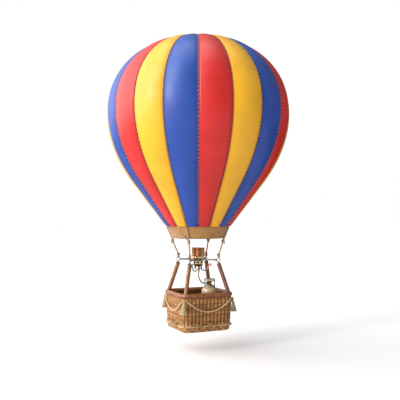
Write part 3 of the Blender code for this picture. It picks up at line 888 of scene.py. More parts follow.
@dataclass
class Envelope:
    """Padded gores sewn edge to edge, widest at height 0."""

    waist_r: float = 200 * MM
    shell: float = 10 * MM
    gores: int = 18
    crown_rise: float = 169 * MM
    crown_power: float = 2.084  # of the curve above the waist
    flank_slope: float = 0.759  # inward over down, past the bend
    mouth_z: float = -244.6 * MM
    crown_hole_r: float = 22 * MM
    seam_dip: float = 0.13  # a seam lies this share of half its gore's width below the gore's middle
    rows: int = 112
    inner: int = 5  # points across a gore's inside
    roll: float = 1.3 * MM  # how far from the seam the edge curls in
    welt: float = 3.0 * MM  # from the seam to the crease beside it
    crease: float = 0.55 * MM  # how deep and how wide it is
    edge_drop: float = 2.4 * MM
    stitch_pitch: float = 8.2 * MM
    stitch_length: float = 4.6 * MM
    stitch_r: float = 0.95 * MM
    stitch_tilt: float = radians(14)
    cord_r: float = 0.9 * MM
    hem: float = 4.0 * MM
    hem_rows: tuple[float, ...] = (5.4, 4.6, 4.2, 4.0, 3.8, 3.4, 2.4, 1.5, 1, 0.6, 0.3, 0.1, 0)  # millimetres
    patch_r: float = 26 * MM
    patch_thick: float = 1.6 * MM

    @property
    def half(self) -> float:
        """Half a gore's angle."""
        return pi / self.gores

    @property
    def front(self) -> float:
        """The front seam's direction."""
        return HEADING - pi / 2

    def outline(self, count: int, hem: Sequence[float] = (0.0,)) -> tuple[Points, np.ndarray]:
        """The outside from crown to mouth.

        Args:
            count: How many points at even distances, above the hem.
            hem: Distances of the last points from the mouth, the farthest first.

        Returns:
            Rows of radius, height and the normal's two parts, and each's distance from the crown's hole.
        """
        power = self.crown_power
        start = (self.crown_hole_r / self.waist_r) ** (power / 2)
        t = np.linspace(atan2(start, sqrt(1 - start * start)), pi / 2, 200)
        bow = 2 / power
        upper = [self.waist_r * np.sin(t) ** bow, self.crown_rise * np.abs(np.cos(t)) ** bow]
        z = np.linspace(0, self.mouth_z, 200)[1:]
        bend_end = -self.waist_r * self.flank_slope
        curve = np.maximum(z, bend_end) ** 2 / (2 * self.waist_r)
        lower = [self.waist_r - curve + np.minimum(z - bend_end, 0) * self.flank_slope, z]
        line = np.hstack([upper, lower]).T
        run = run_along(line)
        places = np.append(np.linspace(0, run[-1] - hem[0], count, endpoint=False), run[-1] - np.array(hem))
        line = at_places(places, run, line)
        along = np.gradient(line, places, axis=0)
        along /= np.linalg.norm(along, axis=1)[:, None]
        return np.column_stack([line, -along[:, 1], along[:, 0]]), places

    def cross_section(self, width: float) -> tuple[np.ndarray, np.ndarray]:
        """Half a gore from its seam to its middle.

        Args:
            width: How wide that is.

        Returns:
            Distances from the seam, and how far the surface lies below the puffed gore at each.
        """
        scale = min(1, width / (14 * MM))
        near = np.array([0, 0.3, 0.7, 1.3, 2.1, 2.6, 3.0, 3.4, 4.2, 6.0]) * MM * scale
        edge = np.concatenate([near, np.linspace(near[-1], width, 6)[1:]])
        drop = self.edge_drop * scale * np.clip(1 - edge / (self.roll * scale), 0, 1) ** 2
        return edge, drop + self.crease * scale * bell((edge - self.welt * scale) / (self.crease * scale))

    def gore(self, index: int) -> Piece:
        """Make one gore.

        Args:
            index: Which one, counted anticlockwise from the front seam.

        Returns:
            The padded gore.
        """

        def all_round(outer: np.ndarray, inner: Any, sign: int = 1) -> np.ndarray:
            """A value along the outside from seam to seam, then back along the inside."""
            return np.concatenate([outer, sign * outer[-2::-1], np.broadcast_to(inner, self.inner)])

        middle = self.front + (2 * index + 1) * self.half
        rows: list[Points] = []
        values: dict[str, list[np.ndarray]] = {"seam": [], "groove": [], "run": []}
        outline, runs = self.outline(self.rows, [step * MM for step in self.hem_rows])
        for (r, z, normal_r, normal_z), run in zip(outline, runs):
            edge, low = self.cross_section(self.half * r - GAP / 2)
            share = 1 - edge / edge[-1]
            left = runs[-1] - run
            low = self.seam_dip * self.half * r * share**2 + low
            low += self.crease * bell((left - self.hem) / (0.6 * MM))
            low += 1.2 * MM * max(0, 1 - left / (1.5 * MM)) ** 2
            height = np.maximum(z - low * normal_z, self.mouth_z)
            in_r, in_z = r - self.shell * normal_r, z - self.shell * normal_z
            in_turn = np.linspace(-1, 1, self.inner) * (self.half - GAP / 2 / in_r)
            if left == 0:
                height, in_r, in_z = np.full(len(low), z), r - self.shell / normal_r, z
            turns = middle + all_round(share * (self.half - GAP / 2 / r), in_turn, -1)
            rows.append(ring(all_round(r - low * normal_r, in_r), turns, all_round(height, in_z)))
            # seam also sets how much painted shade darkens the cloth near a seam; groove sets where the
            # painted shadow colour goes
            values["seam"].append(all_round(bell(edge / (5 * MM)), 0))
            values["groove"].append(all_round(bell(edge / (1.2 * MM)), 0))
            values["run"].append(np.full(len(turns), run))
        shape = Shape()
        shape.add(*loft(rows), **{name: np.concatenate(parts) for name, parts in values.items()})
        name = f"gore_{index + 1:02d}"
        finish = GORE_FINISHES[index % len(GORE_FINISHES)]
        return shape.piece(f"padded_{name}", finish, name, radians(60))

    def stitches(self, kind: int) -> Piece:
        """The cord that fills every third seam's groove and the slanting stitches over it.

        Args:
            kind: Which of the three threads, which says where the seams start.

        Returns:
            Those seams' cords and stitches as one piece.
        """
        outline, runs = self.outline(400)
        dip = self.seam_dip * self.half
        slant = np.array((sin(self.stitch_tilt), cos(self.stitch_tilt))) * self.stitch_length / 2
        bow = np.array([-1, -0.88, -0.6, 0, 0.6, 0.88, 1])[:, None]
        thick = self.stitch_r * np.array([0.4, 0.8, 0.96, 1, 0.96, 0.8, 0.4])
        rise = 0.35 * MM - 1.9 * MM * bow**4
        vertical = np.array(UP)
        shape = Shape()
        for seam in range(kind, self.gores, len(SEAM_THREADS)):
            turn = self.front + 2 * self.half * seam
            out, across = np.array((cos(turn), sin(turn), 0)), np.array((-sin(turn), cos(turn), 0))
            few = outline[np.linspace(0, len(outline) - 1, 100).astype(int)]
            sunk = few[:, :2] - (dip * few[:, :1] + self.edge_drop) * few[:, 2:]
            shape.add(*sweep(sunk[:, :1] * out + sunk[:, 1:] * vertical, self.cord_r, 6), tone=0.0)
            for place in np.arange(1.2 * self.stitch_pitch, runs[-1] - self.hem, self.stitch_pitch):
                r, z, normal_r, normal_z = at_places(place, runs, outline)
                normal, along = normal_r * out + normal_z * vertical, normal_r * vertical - normal_z * out
                centre = r * out + z * vertical - dip * r * normal
                path = centre + bow * (slant[0] * across + slant[1] * along) + rise * normal
                shape.add(*sweep(path, thick, 7), tone=0.8)
        return shape.piece(f"gore_stitches_{kind + 1}", SEAM_THREADS[kind], smooth_below=radians(80))

    def crown_patch(self) -> list[Piece]:
        """The round patch over the hole where the gores meet, with its ring of stitches.

        Returns:
            The patch and its stitches.
        """
        reach, thick = self.patch_r, self.patch_thick
        plug, top = self.outline(40)[0][0, :2]
        plug, low = plug - self.shell * 0.11, top + 2 * GAP
        profile = [
            (plug, top - self.shell + GAP),
            (plug, low),
            (reach, low),
            (reach, low + thick * 0.7),
            (reach - 1.0 * MM, low + thick * 0.9),
            (reach - 2.6 * MM, low + thick * 0.75),
            (reach - 4.0 * MM, low + thick),
            (4 * MM, low + thick),
        ]
        cloth = joined(turned(rounded(profile, 0.5 * MM), 72))
        patch = cloth.piece("crown_patch_cloth", CANVAS, "crown_patch")
        sewn = Shape()
        heights = low + thick * 0.8 + np.array([-0.3, 0.25, 0.25, -0.3]) * MM
        sew_round(sewn, 36, 1.3 * MM / reach, reach - 2.6 * MM, heights, 0.35 * MM, 0.8)
        return [patch, sewn.piece("crown_stitches", TAN_THREAD)]

    def build(self) -> list[Piece]:
        """Make every piece of the envelope."""
        gores = [self.gore(k) for k in range(self.gores)]
        return [*gores, *(self.stitches(kind) for kind in range(len(SEAM_THREADS))), *self.crown_patch()]


@dataclass
class Skirt:
    """The canvas band below the mouth, with its hem and the eyelets of the bridles."""

    top_r: float = 69.1 * MM
    low_r: float = 57.1 * MM
    top_z: float = -244.9 * MM
    low_z: float = -270.4 * MM
    thick: float = 2.0 * MM
    hem: float = 3.2 * MM
    columns: int = 180
    rows: int = 22
    stitches: int = 92
    stitch: float = 1.3 * MM  # half a running stitch's length
    eyelet_r: float = 2.1 * MM

    def radius(self, z: float) -> float:
        """The outside's radius at a height."""
        return self.top_r + (self.low_r - self.top_r) * (self.top_z - z) / (self.top_z - self.low_z)

    @property
    def clear(self) -> Vector:
        """From the skirt's surface to the middle of a rope that lies on it, as radius and height."""
        slope = Vector((self.top_z - self.low_z, self.low_r - self.top_r)).normalized()
        return (Stays.rope.radius + GAP) * slope

    @staticmethod
    def wave(turns: np.ndarray) -> np.ndarray:
        """How far the cloth's foot strays from round, by direction."""
        return 0.3 * MM * np.sin(9 * turns + 0.6) * np.sin(4 * turns) + 0.2 * MM * np.sin(23 * turns)

    def band(self) -> Piece:
        """The canvas band, thicker at its rolled hem and drawn in along the stitches above it.

        Returns:
            The band.
        """
        turns, inset = around(self.columns), 0.3 * MM
        outer, inner = [], []
        for share in np.linspace(0, 1, self.rows):
            z = self.top_z + (self.low_z - self.top_z) * share
            above = z - self.low_z
            bulge = 0.7 * MM * bell((above - self.hem * 0.45) / (self.hem * 0.4))
            bulge += -0.35 * MM * bell((above - self.hem) / (0.6 * MM))
            r = self.radius(z) + bulge - inset + self.wave(turns) * (0.3 + 0.7 * share)
            outer.append(ring(r, turns, z))
            inner.append(ring(r - self.thick - 2 * max(0.0, bulge) + inset, turns, z))
        made = joined(loft(outer + inner[::-1], True)).piece("canvas_skirt", CANVAS, "skirt")
        return made

    def trim(self) -> list[Piece]:
        """The hem's tape binding, its running stitches, and an eyelet where each bridle goes through.

        Returns:
            The binding, the stitches and the eyelets.
        """
        turns, low = around(self.columns), self.low_z + 0.5 * MM
        tape = ring(self.radius(low) - self.thick / 2 - 0.2 * MM + self.wave(turns), turns, low)
        sewn, eyelets = Shape(), Shape()
        for z in (self.low_z + self.hem, self.top_z - 2.6 * MM):
            radii = self.radius(z) - 0.25 * MM + np.array([-0.3, 0.2, 0.2, -0.3]) * MM
            sew_round(sewn, self.stitches, self.stitch / self.low_r, radii, z, 0.3 * MM, 0.3)
        for corner in Corner:
            turn = corner.stay_turn + corner.lead * Stays.bridle_turn
            out = polar(1, turn, (self.top_r - self.low_r) / (self.low_z - self.top_z)).normalized()
            side = out.orthogonal().normalized()
            centre = polar(self.radius(Stays.bridle_z), turn, Stays.bridle_z) + out * 0.1 * MM
            loop = hoop(centre, self.eyelet_r, side, out.cross(side), around(20))
            eyelets.add(*sweep(loop, 0.5 * MM, 8, True))
        return [
            joined(sweep(tape, 1.1 * MM, 10, True)).piece("skirt_binding", TAPE),
            sewn.piece("skirt_stitches", TAN_THREAD),
            eyelets.piece("skirt_eyelets", BRASS),
        ]

    def build(self) -> list[Piece]:
        """Make every piece of the skirt."""
        return [self.band(), *self.trim()]


@dataclass
class Poles:
    """Leather-sleeved poles from the rim's corners up to the links, and the links."""

    pole_r: float = 4.5 * MM
    top: Triple = (34.3 * MM, 31.8 * MM, -325.4 * MM)
    at_rim: Triple = (49.8 * MM, 47.0 * MM, -386.0 * MM)
    socket_depth: float = 5.5 * MM
    binding: float = 2.6 * MM
    link_w: float = 7.7 * MM
    link_h: float = 13 * MM
    link_wire: float = 0.75 * MM
    link_seat: float = 0.7 * MM
    staple_r: float = 1.9 * MM
    staple_foot: float = 0.35  # how far each leg goes on past the half circle, in radians

    def axis(self, corner: Corner) -> tuple[Vector, Vector]:
        """The top of a pole and its foot in the rim's socket.

        Args:
            corner: The corner that it stands on.

        Returns:
            Both points.
        """
        side_x, side_y = corner.sides
        top, at_rim = (Vector((side_x * x, side_y * y, z)) for x, y, z in (self.top, self.at_rim))
        return top, at_rim + (at_rim - top) / (top.z - at_rim.z) * self.socket_depth

    def link_centre(self, corner: Corner) -> Vector:
        """The middle of the link over a pole."""
        return self.axis(corner)[0] + UP * (self.link_seat + self.link_h / 2)

    def pole(self, corner: Corner) -> list[Piece]:
        """A slightly uneven sleeve with painted shade on one side, and a dark binding at its top.

        Args:
            corner: The corner that it stands on.

        Returns:
            The sleeve and its binding.
        """
        top, foot = self.axis(corner)
        length = (foot - top).length
        even = np.linspace(2.5, length / MM - 0.5, 42)
        places = np.concatenate([[0, 0.25, 0.7, 1.2], even, [length / MM]]) * MM
        turns = around(28)
        end = 1 - 0.35 * np.clip(1 - places / (1.2 * MM), 0, 1) ** 2
        lumps = 1 + 0.018 * np.sin(places / (7 * MM))[:, None] * np.sin(turns + 1.3 * corner.sides[0])
        radii = (self.pole_r - 0.15 * MM) * end[:, None] * lumps
        # painted light and shade round the sleeve: lightest towards one side, darkest on the other
        shade = 0.35 + 0.5 * np.broadcast_to(np.cos(turns - 0.8) * 0.5 + 0.5, radii.shape).ravel()
        shape = Shape()
        path = [top + (foot - top) * (p / length) for p in places]
        shape.add(*sweep(path, radii, len(turns)), tone=shade)
        # the right-hand poles take the darker copy as painted shade
        hide = SHADED_HIDE if corner.sides[0] > 0 else POLE_HIDE
        sleeve = shape.piece(f"sleeved_pole_{corner.node}", hide, f"pole_{corner.node}")
        start, stop = (top + (foot - top) * (p / length) for p in (0.15 * MM, self.binding))
        ribs = (self.pole_r + 0.2 * MM) * (1 + 0.03 * np.cos(2 * pi * np.arange(9) / 4))
        ribs[[0, -1]] *= (0.82, 0.9)
        wrap = joined(sweep([start.lerp(stop, t) for t in np.linspace(0, 1, 9)], ribs, 24))
        return [sleeve, wrap.piece(f"pole_binding_{corner.node}", FERRULE)]

    def link(self, corner: Corner) -> Piece:
        """An upright oval link.

        Args:
            corner: The corner that it hangs over.

        Returns:
            The link.
        """
        centre, half_turn = self.link_centre(corner), np.linspace(0, pi, 17)
        bend = self.link_w / 2 - self.link_wire
        straight = UP * (self.link_h / 2 - self.link_wire - bend)
        out, _ = outward(centre)
        path = [hoop(centre + way * straight, way * bend, out, UP, half_turn) for way in (1, -1)]
        shape = joined(sweep(np.vstack(path), self.link_wire * 1.12, 12, True))
        return shape.piece(f"steel_link_{corner.node}", STEEL, f"link_{corner.node}")

    def staples(self) -> Piece:
        """The staple at the top of each pole, through which the link passes.

        Returns:
            All of them as one piece.
        """
        shape = Shape()
        turns = np.linspace(-self.staple_foot, pi + self.staple_foot, 15)
        for corner in Corner:
            top, _ = self.axis(corner)
            seat = top + UP * (self.link_seat + self.link_wire)
            shape.add(*sweep(hoop(seat, self.staple_r, outward(top)[1], UP, turns), 0.6 * MM, 8))
        return shape.piece("pole_staples", STEEL)

    def build(self) -> list[Piece]:
        """Make every pole and link."""
        made = [piece for corner in Corner for piece in (*self.pole(corner), self.link(corner))]
        return [*made, self.staples()]


@dataclass
class Stays:
    """Twine stays from the envelope's mouth to the links, each joined by a bridle at its upper knot."""

    skirt: Skirt
    poles: Poles
    knot_r: float = 3.6 * MM
    upper_knot: Pair = (57.5 * MM, -277 * MM)  # radius and height
    rope: ClassVar[Rope] = Rope(1.65 * MM)
    bridle_rope: ClassVar[Rope] = Rope(1.3 * MM)
    loop_rope: ClassVar[Rope] = Rope(1.0 * MM, 12)
    end_rope: ClassVar[Rope] = Rope(0.95 * MM, 12)
    bridle_z: ClassVar[float] = -255.4 * MM
    bridle_turn: ClassVar[float] = 2 * pi / Envelope.gores

    def stay(self, corner: Corner) -> Piece:
        """Make a stay with its bridle, knots, loop and loose ends.

        Args:
            corner: The corner that it leads to.

        Returns:
            The stay.
        """
        clear, skirt, turn = self.skirt.clear, self.skirt, corner.stay_turn
        link_top = self.poles.link_centre(corner) + UP * (self.poles.link_h / 2)
        low_knot = link_top + UP * (GAP + self.knot_r)
        top = polar(skirt.top_r + clear.x, turn, skirt.top_z + clear.y)
        hem = polar(skirt.low_r + clear.x, turn, skirt.low_z + clear.y)
        high_knot = polar(self.upper_knot[0], turn, self.upper_knot[1])
        slack = high_knot.lerp(low_knot, 0.5) + Vector((0.25, -0.2, 0)) * MM
        aside = corner.lead * self.bridle_turn
        start = polar(skirt.radius(self.bridle_z) + clear.x * 0.3, turn + aside, self.bridle_z)
        over_hem = polar(skirt.low_r + clear.x * 1.2, turn + aside * 0.25, skirt.low_z + clear.y)
        shape = Shape()
        self.rope.add_to(shape, smooth_path([top, top.lerp(hem, 0.5), hem, high_knot], 6))
        self.rope.add_to(shape, smooth_path([high_knot, slack, low_knot], 8))
        bridle = [start, start.lerp(over_hem, 0.5), over_hem, high_knot]
        self.bridle_rope.add_to(shape, smooth_path(bridle, 6))
        self.rope.knot(shape, high_knot, self.knot_r * 1.3, turn)
        self.rope.knot(shape, high_knot - UP * 1.6 * MM, self.knot_r * 1.1, turn + 1.1)
        self.rope.knot(shape, low_knot, self.knot_r * 1.3, turn + 0.5)
        out, side = outward(link_top)
        seat = link_top - UP * self.poles.link_wire
        self.loop_rope.add_to(shape, hoop(seat, 2.0 * MM, side, UP, around(18)), True)
        for knot, length, way in ((high_knot, 6.5, 1), (low_knot, 5.0, -1)):
            bend = knot + (out * 2.8 + side * 0.8 * way) * MM
            end = knot + (out * 2.6 + side * 1.8 * way - UP * length) * MM
            self.end_rope.add_to(shape, smooth_path([knot, bend, end], 5))
        twine = SCORCHED_TWINE if corner is Corner.BACK_RIGHT else TWINE
        return shape.piece(f"twine_stay_{corner.node}", twine, f"stay_{corner.node}")

    def build(self) -> list[Piece]:
        """Make every stay."""
        return [self.stay(corner) for corner in Corner]


@dataclass
class Burner:
    """The burner on its cross of arms: three cans over a manifold and a block with three nozzles."""

    poles: Poles
    arm_r: float = 2.1 * MM
    arm_z: float = -318 * MM
    hub_r: float = 7 * MM
    can_pitch: float = 9.7 * MM
    can_top_z: float = -292 * MM
    can_low_z: float = -310.8 * MM
    can_wall: float = 0.9 * MM
    can_recess: float = 7 * MM
    flutes: int = 12
    coil_turns: int = 6
    manifold: Pair = (13.4 * MM, 5.6 * MM)
    block: Pair = (11 * MM, 7 * MM)
    block_low_z: float = -333.5 * MM
    block_taper: Pair = (3.5 * MM, 5 * MM)  # in and up
    nut_z: float = -313.6 * MM
    nozzle_pitch: float = 7.6 * MM
    nozzle_r: float = 3.6 * MM
    nozzle_bore: float = 2.0 * MM
    nozzle_z: float = -324.2 * MM
    nozzle_proud: float = 2 * MM
    inlet_x: float = 1.5 * MM
    inlet_r: float = 2.5 * MM
    inlet_low_z: float = -341.4 * MM
    pipe_r: float = 1.3 * MM
    valve_x: float = 21.2 * MM
    valve_r: float = 2.0 * MM
    valve_z: Pair = (-341 * MM, -331 * MM)  # foot and top

    def cross(self) -> Piece:
        """Four arms with collars, from a hub out to the links.

        Returns:
            The cross.
        """
        low, high, r = self.arm_z - self.arm_r, self.arm_z + self.arm_r, self.hub_r
        hub = [(r - 1 * MM, low), (r, low + 0.6 * MM), (r, high - 0.6 * MM), (r - 1 * MM, high)]
        shape = joined(turned(rounded(hub, 0.4 * MM), 40))
        thick = np.array([1, 1, 1.15, 1.15, 0.85, 0.85, 1.0, 1.0]) * self.arm_r * 0.98
        for corner in Corner:
            centre = self.poles.link_centre(corner)
            reach = hypot(centre.x, centre.y) - self.poles.link_w / 2 - GAP
            places = [r * 0.3, 9 * MM, 9.4 * MM, 12 * MM, 12.4 * MM, reach - 6 * MM, reach - 5 * MM, reach]
            shape.add(*sweep([outward(centre)[0] * p + UP * self.arm_z for p in places], thick, 18))
        return shape.piece("steel_burner_cross", PIPE_STEEL, "burner_cross", radians(40))

    def can(self, name: str, place: int, radius: float, finish: Finish) -> Piece:
        """Make a can with a rolled lip. The middle one is wound with its heating coil, the others are fluted.

        Args:
            name: Which one it is.
            place: -1 for the left one, 0 for the middle one and 1 for the right one.
            radius: Its outer radius.
            finish: Its finish.

        Returns:
            The can.
        """
        centre, turns = facing(place * self.can_pitch, 0, 0), around(72)
        top, low, inner = self.can_top_z, self.can_low_z, -self.can_wall
        fluted = (np.abs(np.cos(turns * self.flutes / 2)) - 1) * (0.0 if place == 0 else 0.55 * MM)
        body = [(0.0, low + 2.0 * MM, 1.0), (0.0, top - 2.2 * MM, 1.0)]
        if place == 0:
            shares = np.linspace(0, 1, self.coil_turns * 6 + 1)
            swells = np.abs(np.sin(pi * self.coil_turns * shares)) * 0.55 * MM - 0.45 * MM
            heights = low + 1.6 * MM + (top - low - 3.4 * MM) * shares
            body = [(swell, z, 0.0) for swell, z in zip(swells, heights)]
        rows = [  # past the radius, height and share of the flutes
            (-0.4 * MM, low, 0.0),
            (0.0, low + 0.4 * MM, 0.0),
            (0.0, low + 1.4 * MM, 0.0),
            *body,
            (0.0, top - 1.6 * MM, 0.0),
            (0.3 * MM, top - 0.9 * MM, 0.0),
            (0.2 * MM, top - 0.2 * MM, 0.0),
            (-0.2 * MM, top, 0.0),
            (inner, top, 0.0),
            (inner - 0.1 * MM, top - self.can_recess, 0.0),
            (-radius * 0.6, top - self.can_recess + 0.8 * MM, 0.0),
        ]
        rings = [ring(radius + grow + fluted * flute, turns, z, centre) for grow, z, flute in rows]
        return joined(loft(rings)).piece(f"burner_can_{name}", finish, f"can_{name}")

    def can_plate(self) -> Piece:
        """The plate that the cans are brazed to.

        Returns:
            The plate.
        """
        low, high = self.can_low_z + 1 * MM, self.can_top_z - 1.4 * MM
        plate = self.rounded_block((self.can_pitch, 2.4 * MM), low, high, 0.6 * MM)
        return joined(plate).piece("plate_between_cans", BRONZE)

    def dark_bores(self) -> Piece:
        """The black parts: plugs of painted shade in the draught holes and the nozzles' bores, and two knobs.

        Returns:
            All of them as one piece.
        """
        shape = Shape()
        holes = ((-2.2 * MM, 5.0 * MM, 5.2 * MM), (self.can_pitch + 1.4 * MM, 4.1 * MM, 3.2 * MM))
        for x, radius, drop in holes:
            ends = [facing(x, -radius + depth, self.can_top_z - drop) for depth in (1.2 * MM, 0.05 * MM)]
            shape.add(*sweep(ends, 1.05 * MM, 16))
        depths = (-self.block[1], 0.5 * MM - self.block[1] - self.nozzle_proud)
        for place in (-1, 0, 1):
            ends = [facing(place * self.nozzle_pitch, depth, self.nozzle_z) for depth in depths]
            shape.add(*sweep(ends, self.nozzle_bore * 1.02, 18))
        for x in (-6.4 * MM, 6.6 * MM):
            for low, high, r in ((-338.6, -335.2, 1.9), (-335.4, -333.2, 1.0)):
                profile = [(size * MM, z * MM) for size, z in ((0.3, low), (r, low), (r, high), (0.3, high))]
                shape.add(*turned(rounded(profile, 0.5 * MM), 16, facing(x, 0, 0).xy))
        return shape.piece("burner_knobs_and_bores", BLACK_AND_HOLE_SHADE)

    @staticmethod
    def rounded_block(half: Pair, low: float, high: float, corner: float, taper: Pair = (0, 0)) -> Mesh:
        """Make a block with rounded edges, turned to the front seam.

        Args:
            half: Half its width and half its depth.
            low: Its foot's height.
            high: Its top's height.
            corner: The radius of its upright edges.
            taper: How far its foot draws in on each side, and how high up that starts.

        Returns:
            The mesh.
        """
        edge, (draw, start) = min(0.7 * MM, corner), taper
        levels = [(low, draw + edge), (low + edge * 0.3, draw + edge * 0.3), (low + edge, draw * 0.86)]
        if draw:
            levels += [(low + start * 0.55, draw * 0.45), (low + start, 0.0)]
        levels += [(high - edge, 0.0), (high - edge * 0.3, edge * 0.3), (high, edge)]
        rings = []
        for z, inset in levels:
            loop, _ = rounded_loop(half[0] - inset, half[1] - inset, corner - inset, 6)
            rings.append([facing(x, y, z) for x, y, _ in loop])
        return loft(np.array(rings))

    def brassware(self) -> list[Piece]:
        """The manifold, and the block with its inlet.

        Returns:
            Both pieces.
        """
        over_arms, under_arms = self.arm_z + self.arm_r + GAP, self.arm_z - self.arm_r - GAP
        manifold = self.rounded_block(self.manifold, over_arms, self.can_low_z - GAP, 4 * MM)
        block = self.rounded_block(self.block, self.block_low_z, under_arms, 3 * MM, self.block_taper)
        r, low = self.inlet_r, self.inlet_low_z
        fitting = [
            (r * 0.6, low),
            (r, low + 0.5 * MM),
            (r, low + 3.2 * MM),
            (r * 0.8, low + 3.6 * MM),
            (r * 0.8, self.block_low_z + 0.5 * MM),
        ]
        inlet = turned(fitting, 24, facing(self.inlet_x, 0, 0).xy)
        return [
            joined(manifold).piece("brass_manifold", BRASS, "burner_manifold", radians(40)),
            joined(block, inlet).piece("brass_block", TARNISHED, "burner_block", radians(40)),
        ]

    def turned_parts(self) -> Piece:
        """Three nozzle rings on the block's front, and four domed nuts on the manifold's.

        Returns:
            All of them as one piece.
        """
        shape = Shape()
        for x in (-9.6 * MM, -4.9 * MM, 4.9 * MM, 9.6 * MM):
            base, nose = (facing(x, y - self.manifold[1], self.nut_z) for y in (0.3 * MM, -1.5 * MM))
            dome = np.array([1.9, 1.9, 1.6, 0.95, 0.3]) * MM
            shape.add(*sweep([base.lerp(nose, t) for t in (0, 0.45, 0.75, 0.93, 1)], dome, 14))
        face, outer, bore = self.block[1] + self.nozzle_proud, self.nozzle_r + 0.2 * MM, self.nozzle_bore
        profile = [  # from the block's front out and back into the bore
            (self.block[1] - 1.0 * MM, outer),
            (face - 0.9 * MM, outer),
            (face - 0.25 * MM, outer - 0.25 * MM),
            (face, outer - 0.9 * MM),
            (face - 0.1 * MM, bore + 0.5 * MM),
            (face - 0.7 * MM, bore),
            (face - 1.4 * MM, bore),
        ]
        axis = facing(0, 1, 0)
        side = axis.orthogonal().normalized()
        up = axis.normalized().cross(side)
        for place in (-1, 0, 1):
            rings = []
            for depth, r in profile:
                middle = facing(place * self.nozzle_pitch, -depth, self.nozzle_z)
                rings.append(hoop(middle, r, side, up, around(32)))
            shape.add(*loft(rings))
        return shape.piece("turned_nozzles_and_nuts", ALLOY, smooth_below=radians(40))

    def pipes(self) -> list[Piece]:
        """The small pipes either side of the inlet.

        Returns:
            Both pipes.
        """
        beside = self.inlet_r + self.pipe_r + GAP
        before_valve = self.valve_r + self.pipe_r / 2 + 1.5 * GAP
        left = [  # across and up
            (-self.block[0] - GAP - self.pipe_r, -329 * MM),
            (-13.4 * MM, -333 * MM),
            (-12.4 * MM, -339.5 * MM),
            (-8 * MM, -344 * MM),
            (-4 * MM, -343.5 * MM),
            (self.inlet_x - beside, -339.5 * MM),
        ]
        right = [
            (self.inlet_x + beside, -338 * MM),
            (8 * MM, -340.5 * MM),
            (13 * MM, -342.6 * MM),
            (self.valve_x - before_valve, -339.5 * MM),
        ]
        made = []
        for name, knots in (("pipe_left", left), ("pipe_right", right)):
            path = even_path(smooth_path([facing(x, 0, z) for x, z in knots], 8), 0.7 * MM)
            unions = [sweep(end, self.pipe_r * 1.12, 12) for end in (path[:3], path[-3:])]
            shape = joined(sweep(path, self.pipe_r * 0.95, 12), *unions)
            made.append(shape.piece(f"steel_{name}", PIPE_STEEL, name))
        return made

    def valve(self) -> Piece:
        """The blast valve with its lever, which ends in a ring.

        Returns:
            The valve.
        """
        (low, high), x, r = self.valve_z, self.valve_x, self.valve_r
        body = [
            (0.5 * MM, low),
            (r * 0.75, low),
            (r, low + 1 * MM),
            (r, low + 4 * MM),
            (r * 0.7, low + 4.6 * MM),
            (r * 0.7, high - 3 * MM),
            (r, high - 2.4 * MM),
            (r, high - 0.6 * MM),
            (r * 0.6, high),
        ]
        knots = [facing(x, 0, high - 1 * MM)]
        knots += [facing(x + 1.9 * MM, 0, high + 0.9 * MM), facing(x + 3.4 * MM, 0, high + 1.0 * MM)]
        end = hoop(facing(x + 5.5 * MM, 0, high + 1.2 * MM), 2.0 * MM, facing(1, 0, 0), UP, around(28))
        lever = (sweep(smooth_path(knots, 7), 1.4 * MM, 12), sweep(end, 1.15 * MM, 12, True))
        shape = joined(turned(body, 24, facing(x, 0, 0).xy), *lever)
        return shape.piece("burner_lever", LEVER, "burner_valve")

    def build(self) -> list[Piece]:
        """Make every piece of the burner.

        Returns:
            The pieces.
        """
        outer, middle = 4.2 * MM, 5.2 * MM
        cans = (("left", -1, outer, BRONZE), ("middle", 0, middle, COPPER), ("right", 1, outer, BRONZE))
        parts = [self.cross(), *(self.can(*row) for row in cans), *self.brassware(), self.turned_parts()]
        return [*parts, self.can_plate(), self.dark_bores(), *self.pipes(), self.valve()]


